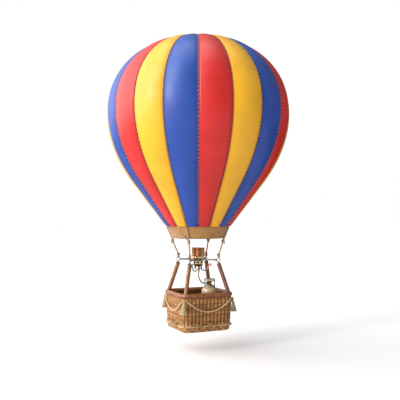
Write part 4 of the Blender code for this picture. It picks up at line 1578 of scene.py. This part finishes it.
@dataclass
class GasSupply:
    """The gas cylinder in the right half of the basket, and the hose up to the burner."""

    burner: Burner
    at: Pair = (28 * MM, 0.0)
    radius: float = 18.1 * MM
    floor_z: float = -463.2 * MM
    belt_z: float = -430 * MM
    shoulder_z: float = -390 * MM
    top_z: float = -377.5 * MM
    dome_end: float = radians(72)  # how far up the dome goes before the collar covers it
    tap_r: float = 4.2 * MM
    spigot_z: float = -371.8 * MM
    spigot_r: float = 2.0 * MM
    spigot_end: float = 9.5 * MM
    hose_r: float = 1.4 * MM
    hose_route: tuple[Triple, ...] = (  # millimetres, seen from the front seam
        (1.2, 0.3, -346),
        (0.6, 1.2, -351.5),
        (1.4, 3.0, -358.5),
        (4.4, 5.6, -365.5),
        (8.6, 8.6, -370.2),
        (12.6, 10.8, -372.0),
    )

    def tank(self) -> Piece:
        """The cylinder: a drawn shell with a welded belt and a domed shoulder.

        Returns:
            The cylinder.
        """
        r, floor_z, belt = self.radius, self.floor_z, self.belt_z
        profile = [
            (r - 4 * MM, floor_z),
            (r - 2 * MM, floor_z),
            (r, floor_z + 2 * MM),
            (r, belt - 1.4 * MM),
            (r + 0.5 * MM, belt),
            (r, belt + 1.4 * MM),
            (r, self.shoulder_z - 3 * MM),
        ]
        dome = self.top_z - self.shoulder_z
        rise = np.linspace(0, self.dome_end, 15)
        profile += zip(r * np.cos(rise), self.shoulder_z + dome * np.sin(rise))
        return joined(turned(profile, 64, self.at)).piece("enamelled_cylinder", TANK, "gas_cylinder")

    def tap(self) -> list[Piece]:
        """The tap: a stem, a handwheel with a scalloped edge, and the spigot for the hose.

        Returns:
            The tap and its handwheel.
        """
        r, turns = self.tap_r, around(48)
        low = self.shoulder_z + (self.top_z - self.shoulder_z) * sin(self.dome_end) + GAP
        stem = [
            (r, low),
            (r * 1.2, low + 0.8 * MM),
            (r * 1.2, low + 3.4 * MM),
            (r, low + 4 * MM),
            (r, -370.6 * MM),
            (r * 0.6, -370 * MM),
            (r * 0.6, -367 * MM),
        ]
        wheel = (  # radius over the stem's, and height in millimetres
            (0.5, -369.6),
            (1.3, -369.3),
            (1.45, -368.3),
            (1.4, -364.4),
            (1.2, -363.4),
            (0.6, -363),
            (0.5, -360.9),
            (0.3, -360.5),
        )
        scallop = 1 - 0.07 * (0.5 + 0.5 * np.cos(8 * turns))
        rings = [ring(r * s * (scallop if s > 1 else 1.0), turns, z * MM, self.at) for s, z in wheel]
        depths = np.array([0, 4.4, 4.6, 6.2, 6.4, 9.2, 9.5]) * MM
        thick = np.array([1.0, 1.0, 1.25, 1.25, 0.85, 0.85, 0.7]) * self.spigot_r
        spigot = sweep([Vector((*self.at, 0)) + facing(-d, 0, self.spigot_z) for d in depths], thick, 16)
        stem_and_spigot = joined(turned(stem, 28, self.at), spigot)
        return [
            stem_and_spigot.piece("brass_tap", TARNISHED, "cylinder_tap", radians(40)),
            joined(loft(rings)).piece("tap_handwheel", WHEEL_ENAMEL, smooth_below=radians(40)),
        ]

    def hose(self) -> list[Piece]:
        """The hose, from the burner's inlet down and across to the tap, with a ferrule at each end.

        Returns:
            The hose and its ferrules.
        """
        start = facing(self.burner.inlet_x, 0, self.burner.inlet_low_z - GAP)
        end = Vector((*self.at, 0)) + facing(-self.spigot_end - GAP, 0, self.spigot_z)
        knots = [start, *(facing(*place) * MM for place in self.hose_route), end]
        path = even_path(smooth_path(knots, 10), 0.6 * MM)
        hose = joined(sweep(path, self.hose_r, 16)).piece("gas_hose", HOSE, "main_hose")
        declare_cord(hose)
        ends = joined(*(sweep(stretch, self.hose_r + 0.35 * MM, 16) for stretch in (path[:7], path[-7:])))
        return [hose, ends.piece("hose_ferrules", TARNISHED, smooth_below=radians(40))]

    def build(self) -> list[Piece]:
        """Make the cylinder, its tap and the hose, and give the collar its finish.

        Returns:
            The pieces.
        """
        collar = bpy.data.objects["cylinder_collar"].data
        collar.materials.clear()
        collar.materials.append(ZINC.material())
        return [self.tank(), *self.tap(), *self.hose()]


class Side(Enum):
    """A side of the basket, with which quarter of the loop round it it is, anticlockwise from the back."""

    BACK = 0
    LEFT = 1
    FRONT = 2
    RIGHT = 3


@dataclass
class Basket:
    """Willow woven in and out of upright stakes, with a plaited foot, and a leather roll over its rim."""

    top: Pair = (59.5 * MM, 56.7 * MM)  # half sizes outside
    foot: Pair = (57.0 * MM, 54.5 * MM)
    top_z: float = -397.3 * MM
    low_z: float = -469.5 * MM
    corner: float = 18 * MM
    wall: float = 8 * MM
    floor: float = 6 * MM
    foot_round: float = 7 * MM
    border_z: float = -457.4 * MM
    stakes: int = 50
    columns_each: int = 8
    rod_pitch: float = 2.3 * MM
    # inside, the tone is cut to paint the shade inside the basket
    inside: Pair = (0.6, 0.14)  # the weave's depth and tone inside, over those outside
    rim_out: Pair = (62 * MM, 59 * MM)
    rim_corner: float = 20.5 * MM
    rim_r: float = 5.5 * MM
    rim_z: float = -391.5 * MM
    rim_seam: float = radians(-62)  # where the roll is sewn, from its outside up
    rim_steps: int = 360
    tuck: float = 1.6 * MM  # how far the weave's top edge goes into the rim

    @property
    def places(self) -> np.ndarray:
        """How many stakes lie before each column of points."""
        return np.arange(self.stakes * self.columns_each) / self.columns_each

    def half(self, z: float) -> Pair:
        """The outer half sizes at a height, above the rounded foot."""
        share = min(1.0, (self.top_z - z) / (self.top_z - self.low_z - self.foot_round))
        return tuple(top + (foot - top) * share for top, foot in zip(self.top, self.foot))

    def loop(self, half: Pair, inset: float) -> tuple[Points, Points]:
        """A level line round the basket, inset from its wall, with its outward directions."""
        loop = rounded_loop(half[0] - inset, half[1] - inset, self.corner - inset, 20)
        return resample_loop(*loop, self.stakes * self.columns_each)

    def weave(self, z: float) -> tuple[np.ndarray, np.ndarray, np.ndarray]:
        """The woven surface round the basket: a rod passes in front of one stake and behind the next.

        Args:
            z: The height.

        Returns:
            How far it stands out; its tone from 0 to 1, painted light where it rides high and painted
            shade where it sinks, with some wear; and the rod's own tone.
        """
        place = self.places
        level = (self.top_z - z) / self.rod_pitch
        row = int(level)
        across = 2 * (level - row) - 1
        dip = (0.5 - 0.5 * np.cos(2 * pi * place)) ** 1.7
        swing = 0.72 * (1 - 2 * dip) + 0.26 * np.cos(pi * (place + row))
        weaver = swing + 0.95 * sqrt(max(0.0, 1 - across**2)) - 1.15
        offset = 2 * np.abs((place + 0.5) % 1 - 0.5) / 0.62
        stake = 0.5 * np.sqrt(np.clip(1 - offset**2, 0, 1)) - 0.8
        out = np.maximum(np.maximum(weaver, stake), -1.7)
        rng = np.random.default_rng(row)
        own = 0.5 + 0.35 * rng.standard_normal() * 0.5
        patch = 0.22 * np.sin(2 * pi * place / self.stakes * rng.integers(2, 7) + rng.uniform(0, 6))
        wear_and_shade = rng.uniform(-0.5, 0.5, self.stakes)[(place + 0.5).astype(int) % self.stakes]
        # tone: painted light where the rod stands out and painted shade where it sinks, plus some wear
        tone = np.clip(0.22 + 0.55 * (out + 0.85) + 0.2 * wear_and_shade, 0, 1)
        rod = np.clip(np.where(weaver >= stake, own + patch + 0.27 * wear_and_shade, 0.45), 0, 1)
        return out * MM * 0.95, tone, rod

    def border(self, z: float) -> tuple[np.ndarray, np.ndarray, np.ndarray]:
        """The plaited foot, two rows of slanting strands.

        Args:
            z: The height.

        Returns:
            The same as weave.
        """
        share = (self.border_z - z) / (self.border_z - self.low_z)
        across = (2 * share) % 1
        phase = self.places + (-0.9 if share > 0.5 else 0.9) * across
        crest = np.abs(np.cos(pi * phase)) ** 0.6
        arch = max(0.0, sin(pi * across)) ** 0.6
        rod = 0.5 + 0.35 * np.sin(np.floor(phase + 0.5) * 2.4)
        # painted shade between the plaited strands, lighter on their crests
        tone = 0.15 + 0.85 * crest * (0.4 + 0.6 * arch)
        return (0.9 * crest * arch - 0.8) * MM, np.clip(tone, 0, 1), np.clip(rod, 0, 1)

    def body(self) -> Piece:
        """The woven basket, from the middle of its underside round its rim to the middle of its floor.

        Returns:
            The basket.
        """
        rows: list[Points] = []
        tones: list[np.ndarray] = []
        rods: list[np.ndarray] = []
        flat = (np.zeros(len(self.places)), 0.7, 0.4)

        def add_row(
            half: Pair, inset: float, z: float, surface: tuple[Any, ...], inward: bool = False
        ) -> None:
            """Add a row that follows the wall.

            Args:
                half: The wall's half sizes.
                inset: How far the row lies inside them.
                z: Its height.
                surface: How far it stands out, its tone and its rod's tone.
                inward: Whether it is on the inside.
            """
            out, tone, rod = surface
            points, ways = self.loop(half, inset)
            # inward rows have their tone cut as painted shade inside the basket
            depth, dark = (-self.inside[0], self.inside[1]) if inward else (1.0, 1.0)
            placed = points + ways * (depth * out)[:, None]
            placed[:, 2] = z
            rows.append(placed)
            tones.append(np.broadcast_to(tone, len(points)) * dark)
            rods.append(np.broadcast_to(rod, len(points)))

        def add_disc(inset: float, shares: Iterable[float], z: float, tone: float, rod: float) -> None:
            """Add rows on a level floor, each a share of the outermost's size.

            Args:
                inset: How far the outermost lies inside the foot.
                shares: Each row's share of its size.
                z: Their height.
                tone: How light they are.
                rod: The rods' own tone.
            """
            loop, _ = self.loop(self.foot, inset)
            for share in shares:
                rows.append(loop * (share, share, 0) + (0, 0, z))
                tones.append(np.full(len(loop), tone))
                rods.append(np.full(len(loop), rod))

        add_disc(self.foot_round, (0.03, 0.5, 0.9), self.low_z + 0.6 * MM, 0.7, 0.4)
        for turn in pi / 2 * np.arange(9) / 8:
            z = self.low_z + self.foot_round * (1 - cos(turn))
            add_row(self.foot, self.foot_round * (1 - sin(turn)), z, self.border(z))
        for z in np.linspace(self.low_z + self.foot_round, self.border_z, 9)[1:]:
            add_row(self.half(z), 0, z, self.border(z))
        for row in range(int((self.top_z - self.border_z) / self.rod_pitch), -1, -1):
            for across in (0.97, 0.8, 0.5, 0.2, 0.03):
                z = self.top_z - (row + across) * self.rod_pitch
                if z >= self.border_z - 0.1 * MM:
                    add_row(self.half(z), 0, z, self.weave(z))
        add_row(self.top, 0.5 * MM, self.top_z, flat)
        for inset in (1.4 * MM, 5.2 * MM):
            add_row(self.top, inset, self.top_z + self.tuck, flat)
        add_row(self.top, self.wall - 0.5 * MM, self.top_z, flat, True)
        depth = self.top_z - (self.low_z + self.floor)
        for z in self.top_z - np.linspace(0.3 * MM, depth - 0.3 * MM, 62):
            add_row(self.half(z), self.wall + 0.5 * MM, z, self.weave(z), True)
        # the inside floor is darker than the underside: painted shade
        add_disc(self.wall, (0.97, 0.5, 0.03), self.low_z + self.floor, 0.45, 0.3)
        shape = Shape()
        shape.add(*loft(rows), tone=np.concatenate(tones), rod=np.concatenate(rods))
        return shape.piece("woven_basket", WILLOW, "basket", radians(80))

    def rim(self) -> list[Piece]:
        """The padded leather roll, sewn along its underside.

        Returns:
            The roll and its stitches.
        """
        half_x, half_y = (half - self.rim_r for half in self.rim_out)
        loop = rounded_loop(half_x, half_y, self.rim_corner - self.rim_r, 24)
        points, ways = resample_loop(*loop, self.rim_steps)
        turns, waves = around(24), around(self.rim_steps)
        swell = 0.12 * np.sin(23 * waves + 0.8) + 0.1 * np.sin(9 * waves) + 0.08 * np.sin(41 * waves)
        pinch = bell((turns - self.rim_seam % (2 * pi)) / 0.16)
        vertical = np.array(UP)
        rows, tones = [], []
        for point, way, bulge in zip(points, ways, swell):
            r = self.rim_r - 0.25 * MM + bulge * MM - 0.75 * MM * pinch
            aside, height = (r * np.cos(turns))[:, None], (self.rim_z + r * np.sin(turns))[:, None]
            rows.append(point + way * aside + vertical * height)
            # tone: painted light on the roll's top and on its swells, painted shade under it and in the
            # seam's pinch
            tones.append(0.45 + 0.25 * np.sin(turns) - 0.35 * pinch + bulge)
        shape, sewn = Shape(), Shape()
        shape.add(*loft(rows, True), tone=np.concatenate(tones))
        roll = shape.piece("padded_rim", RIM_HIDE, "basket_rim", radians(80))
        lifts = (self.rim_r - 0.65 * MM + np.array([-0.4, 0.1, -0.4]) * MM)[:, None]
        for k in range(0, self.rim_steps, 4):
            path = points[k : k + 3] + ways[k : k + 3] * lifts * cos(self.rim_seam)
            path += vertical * (self.rim_z + lifts * sin(self.rim_seam))
            sewn.add(*sweep(path, 0.33 * MM, 6), tone=0.9)
        return [roll, sewn.piece("rim_stitches", TAN_THREAD)]

    def build(self) -> list[Piece]:
        """Make the basket and its rim."""
        return [self.body(), *self.rim()]


@dataclass
class Trimmings:
    """The ropes and tassels hung on the basket."""

    basket: Basket
    cord_r: float = 1.4 * MM
    swag_z: float = -400 * MM
    swag_drop: float = 25.5 * MM
    swag_start: float = 4.0 * MM
    swag_steps: int = 18
    tassel_z: float = -400.5 * MM
    tassel_knot_r: float = 3.6 * MM
    tassel_lean: float = 1.8 * MM
    tassel_form: tuple[Pair, ...] = (  # radius and drop in millimetres
        (2.0, 2),
        (2.2, 5),
        (3.1, 8),
        (2.6, 9.3),
        (3.1, 11),
        (4.5, 15),
        (5.2, 18),
        (6.0, 23),
        (6.6, 28),
    )
    yarns: int = 20
    base_rope_z: float = -456.0 * MM

    @property
    def off(self) -> float:
        """From the wall to the middle of a rope that lies on it."""
        return self.cord_r + GAP

    @property
    def rope(self) -> Rope:
        """The cotton rope. Its strands stand a little out of the cord's own size."""
        return Rope(self.cord_r * 1.04)

    def round_basket(self, z: float, off: float, share: float) -> Vector:
        """Find a point beside the wall.

        Args:
            z: Its height.
            off: How far it is off the wall.
            share: The share of the way round, from the middle of the back right corner.

        Returns:
            The point.
        """
        half_x, half_y = self.basket.half(z)
        points, _ = rounded_loop(half_x + off, half_y + off, self.basket.corner + off, 16, 24)
        line = np.roll(points, -8, axis=0)
        line = np.vstack([line, line[:1]])
        run = run_along(line)
        quarter = len(points) // 4
        side, part = int(share * 4) % 4, (share * 4) % 1
        start, end = run[side * quarter], run[(side + 1) * quarter]
        x, y, _ = at_places(start + (end - start) * part, run, line)
        return Vector((x, y, z))

    def swag(self, side: Side) -> Piece:
        """Make a rope that droops along one side.

        Args:
            side: The side.

        Returns:
            The rope.
        """
        knots = []
        for share in np.arange(self.swag_steps + 1) / self.swag_steps:
            z = self.swag_z - self.swag_drop * (1 - (2 * share - 1) ** 2)
            start, end = (self.round_basket(z, self.off, (side.value + s) / 4) for s in (0, 1 - 4e-9))
            first = self.swag_start / (end - start).length
            knots.append(self.round_basket(z, self.off, (side.value + first + (1 - 2 * first) * share) / 4))
        path = even_path(smooth_path(knots, 8), self.rope.spacing)
        shape = Shape()
        self.rope.add_to(shape, path)
        name = side.name.lower()
        made = shape.piece(f"rope_swag_{name}", COTTON, f"swag_{name}")
        return declare_cord(made)

    def tassel(self, corner: Corner) -> Piece:
        """Make a tassel: a knot, a bound head and a skirt of yarn that opens and twists.

        Args:
            corner: The corner that it hangs on.

        Returns:
            The tassel.
        """
        basket, (side_x, side_y) = self.basket, corner.sides
        reach = (basket.corner + GAP + self.tassel_knot_r) / sqrt(2) - basket.corner
        half_x, half_y = basket.half(self.tassel_z)
        at = Vector((side_x * (half_x + reach), side_y * (half_y + reach), self.tassel_z))
        lean = Vector((side_x, side_y, 0)) * self.tassel_lean / sqrt(2)
        shape = Shape()
        Rope(self.cord_r).knot(shape, at, self.tassel_knot_r, 0.7 * side_x)
        core = [(r * MM, at.z + z * MM) for r, z in ((0.4, -2.4), (2.3, -1.6), (2.3, 1.6), (0.4, 2.4))]
        # the core is darker: painted shade under the yarn
        shape.add(*turned(rounded(core, 1 * MM), 16, at.xy), tone=0.2)
        turns = around(120)
        _, ends = np.random.default_rng(side_x + 2 * side_y + 5).uniform(-1.3, 0, (2, self.yarns))
        loose = ends[(turns / (2 * pi) * self.yarns).astype(int) % self.yarns]
        form = np.array(self.tassel_form)
        rows, tones = [], []
        for drop in np.linspace(2, 28, 27):
            opened = np.clip((drop - 9) / 19, 0, 1)
            crest = np.abs(np.cos(turns * self.yarns / 2 + 0.9 * opened + drop * 0.14))
            size = np.interp(drop, form[:, 1], form[:, 0]) * (1 - (0.05 + 0.11 * opened) * (1 - crest))
            size += 0.12 * opened * np.sin(3 * turns + drop * 0.1)
            z = at.z - drop * MM - loose * MM * np.clip((drop - 22) / 6, 0, 1)
            rows.append(ring(size * MM, turns, z, at + lean * (0.4 + drop / 28)))
            # painted shade between the yarns, lighter on their crests
            tones.append(np.clip(0.15 + 0.85 * crest, 0, 1))
        last = rows[-1]
        middle = last.mean(axis=0)
        for share, rise in ((0.75, 0.6), (0.4, 2.0)):
            inner = middle + (last - middle) * share
            inner[:, 2] = last[:, 2] + rise * MM
            rows.append(inner)
            # the inside of the skirt of yarn gets painted shade
            tones.append(np.full(len(turns), 0.05))
        shape.add(*loft(rows), tone=np.concatenate(tones))
        for drop in (8.2, 9.2):
            binding = ring(2.95 * MM, turns[::4], at.z - drop * MM, at + lean * (0.4 + drop / 28))
            shape.add(*sweep(binding, 0.55 * MM, 8, True), tone=0.75)
        # the right-hand tassels take the darker yarn as painted shade
        yarn = SHADED_YARN if side_x > 0 else YARN
        return shape.piece(f"yarn_tassel_{corner.node}", yarn, f"tassel_{corner.node}", radians(70))

    def base_rope(self) -> Piece:
        """The rope round the foot.

        Returns:
            The rope.
        """
        half_x, half_y = self.basket.half(self.base_rope_z)
        points, _ = rounded_loop(half_x + self.off, half_y + self.off, self.basket.corner + self.off, 16)
        shape = Shape()
        self.rope.add_to(shape, points + (0, 0, self.base_rope_z), True)
        return shape.piece("foot_rope", WORN_COTTON, "base_rope")

    def bow(self, shape: Shape, share: float, width: float, height: float, tails: float) -> None:
        """Tie a bow on the foot rope.

        Args:
            shape: What it goes into.
            share: Where it is, the share of the way round from the middle of the back right corner.
            width: How far each loop reaches sideways.
            height: How far each rises.
            tails: How far the two ends hang sideways and down.
        """
        here = self.round_basket(self.base_rope_z, self.off, share)
        along = (self.round_basket(self.base_rope_z, self.off, share + 0.004) - here).normalized()
        out = Vector((along.y, -along.x, 0))
        rope = Rope(self.cord_r * 0.85, 12)
        knot = here + out * 2.2 * MM
        rope.knot(shape, knot, 2.5 * MM, atan2(along.y, along.x))
        loop = ((0.5, 0.75, 1.1), (0.95, 0.85, 0.6), (0.85, 0.1, 0.6), (0.4, -0.1, 0.4))
        tail = ((0.45, -0.25, 0.9), (0.75, -0.8, -0.6))
        for way in (-1, 1):
            path = [knot + along * way * width * a + UP * height * b + out * c * MM for a, b, c in loop]
            rope.add_to(shape, smooth_path([knot, *path, knot], 6))
            if tails:
                path = [knot + along * way * tails * a + UP * tails * b + out * c * MM for a, b, c in tail]
                rope.add_to(shape, smooth_path([knot, *path], 6))

    def bows(self) -> Piece:
        """The bows on each side and the knots at the corners.

        Returns:
            All of them as one piece.
        """
        long_sides = ((0.27, 5.5, 7.5, 7.5), (0.5, 4.2, 7, 0))
        short_sides = ((0.58, 16, 7.5, 7),)
        shape = Shape()
        for side in Side:
            for share, *sizes in short_sides if side in (Side.LEFT, Side.RIGHT) else long_sides:
                self.bow(shape, (side.value + share) / 4, *(size * MM for size in sizes))
            knot = self.round_basket(self.base_rope_z, self.off + 1.2 * MM, side.value / 4)
            Rope(self.cord_r, 12).knot(shape, knot, 3.0 * MM, 0.8)
        return shape.piece("foot_bows", BOW_COTTON)

    def build_rest(self) -> list[Piece]:
        """Make everything but the swags."""
        return [*(self.tassel(corner) for corner in Corner), self.base_rope(), self.bows()]


@dataclass
class Studio:
    """The camera, the lights and the white sweep that the balloon hangs over."""

    eye: Triple = (-0.5472, -1.2063, -0.2181)
    look: Triple = (0.4131, 0.9107, 0.0)
    lens: float = 54.0
    shift: Pair = (0.0045, 0.035)
    key_from: Triple = (-0.91, -0.191, 0.35)
    key_strength: float = 1.2
    key_angle: float = radians(14)
    top_from: Triple = (-0.08, 0.13, 0.988)
    top_strength: float = 1.0
    top_angle: float = radians(42)
    glint_from: Triple = (-0.67, -0.11, 0.73)
    glint_strength: float = 0.95
    glint_angle: float = radians(24)
    cool: Triple = (0.8, 1.0, 0.95)
    window_from: Triple = (-0.934, 0.326, 0.151)
    window: float = 3.65  # how bright the big window on the left is at its middle
    room: float = 0.43
    dark_from: Triple = (0.65, 0.76, 0.0)
    dark_share: float = 0.85  # how much of the room's light is missing behind on the right
    floor_half: float = 12.0
    floor_z: float = -0.515
    floor_lift: float = 0.13  # how much the paper glows where the camera sees it
    paper: str = "F2F2F2"
    dim_paper: str = "303030"

    def camera(self) -> None:
        """The photo's camera."""
        data = bpy.data.cameras.new("camera")
        data.lens, data.sensor_width = self.lens, 36.0
        data.shift_x, data.shift_y = self.shift
        data.clip_start, data.clip_end = 0.05, 50
        made = bpy.data.objects.new("camera", data)
        made.location = self.eye
        made.rotation_euler = Vector(self.look).to_track_quat("-Z", "Y").to_euler()
        bpy.context.scene.collection.objects.link(made)
        bpy.context.scene.camera = made

    @staticmethod
    def light(name: str, toward: Triple, strength: float, angle: float, color: Triple = (1, 1, 1)) -> None:
        """Add a distant light. One with a colour of its own is for highlights only.

        Args:
            name: Its name.
            toward: The direction that it shines from.
            strength: How bright it is.
            angle: How wide it looks.
            color: Its colour, linear.
        """
        data = bpy.data.lights.new(name, "SUN")
        data.energy, data.angle, data.color = strength, angle, color
        made = bpy.data.objects.new(name, data)
        way = Vector(toward).normalized()
        made.location = way * 1.8
        made.visible_diffuse = color == (1, 1, 1)
        made.rotation_euler = (-way).to_track_quat("-Z", "Y").to_euler()
        bpy.context.scene.collection.objects.link(made)

    def world(self) -> None:
        """White where the camera sees it, with a big soft window on the left for all else."""
        world = bpy.data.worlds.new("white room")
        world.use_nodes = True
        tree = world.node_tree
        place = add_node(tree, "TexCoord", out="Generated")
        glow: Any = self.room
        dark = -self.dark_share * self.room
        for way, strength in ((self.dark_from, dark), (self.window_from, self.window)):
            nearness = add_node(tree, "VectorMath", (place, way), "Value", operation="DOT_PRODUCT")
            lit = add_node(tree, "Math", (nearness, 0.0), operation="MAXIMUM")
            squared = add_node(tree, "Math", (lit, 2.0), operation="POWER")
            glow = add_node(tree, "Math", (squared, strength, glow), operation="MULTIPLY_ADD")
        direct = add_node(tree, "LightPath", out="Is Camera Ray")
        seen = add_node(tree, "Mix", {0: direct, 6: glow, 7: "FFFFFF"}, 2, data_type="RGBA")
        feed(tree.nodes["Background"], {"Color": "FFFFFF", "Strength": seen})
        bpy.context.scene.world = world

    def sweep_floor(self) -> None:
        """The white floor, which takes the shadow. What it throws back fades behind on the right."""
        half = self.floor_half
        mesh = bpy.data.meshes.new("floor")
        corners = [(x * half, y * half, self.floor_z) for x, y in ((-1, -1), (1, -1), (1, 1), (-1, 1))]
        mesh.from_pydata(corners, [], [(0, 1, 2, 3)])
        material = bpy.data.materials.new("white paper")
        material.use_nodes = True
        tree = material.node_tree
        direct = add_node(tree, "LightPath", out="Is Camera Ray")
        place = add_node(tree, "TexCoord", out="Object")
        way = add_node(tree, "VectorMath", (place, self.dark_from), "Value", operation="DOT_PRODUCT")
        fade = add_node(tree, "MapRange", {"Value": way, "From Min": 0.1, "From Max": 0.9}, "Result")
        unseen = add_node(tree, "Math", (1.0, direct), operation="SUBTRACT")
        hidden = add_node(tree, "Math", (fade, unseen), operation="MULTIPLY")
        papers = {0: hidden, 6: self.paper, 7: self.dim_paper}
        paper = {
            "Base Color": add_node(tree, "Mix", papers, 2, data_type="RGBA"),
            "Roughness": 0.9,
            "Specular IOR Level": 0.0,
            "Emission Color": "FFFFFF",
            "Emission Strength": add_node(tree, "Math", (direct, self.floor_lift), operation="MULTIPLY"),
        }
        feed(tree.nodes["Principled BSDF"], paper)
        mesh.materials.append(material)
        made = bpy.data.objects.new("floor", mesh)
        bpy.context.scene.collection.objects.link(made)

    def build(self) -> None:
        """Light the scene: a soft key from the left, and two lights that draw the sheen on the crown."""
        bpy.context.scene.view_settings.view_transform = "Standard"
        self.world()
        self.light("key", self.key_from, self.key_strength, self.key_angle)
        self.light("top", self.top_from, self.top_strength, self.top_angle, self.cool)
        self.light("glint", self.glint_from, self.glint_strength, self.glint_angle, self.cool)
        self.sweep_floor()


def built(pieces: Iterable[Piece]) -> None:
    """Log each piece."""
    for piece in pieces:
        log.info("%s: %d faces", piece.name, len(piece.data.polygons))


def main() -> None:
    """Dress the balloon."""
    logging.basicConfig(level=logging.INFO)
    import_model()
    studio = Studio()
    studio.camera()
    skirt, poles, basket = Skirt(), Poles(), Basket()
    burner = Burner(poles)
    trimmings = Trimmings(basket)
    built(trimmings.swag(side) for side in Side)
    for part in (GasSupply(burner), Envelope(), skirt, poles, Stays(skirt, poles), burner, basket):
        built(part.build())
    built(trimmings.build_rest())
    studio.build()


if __name__ == "__main__":
    main()
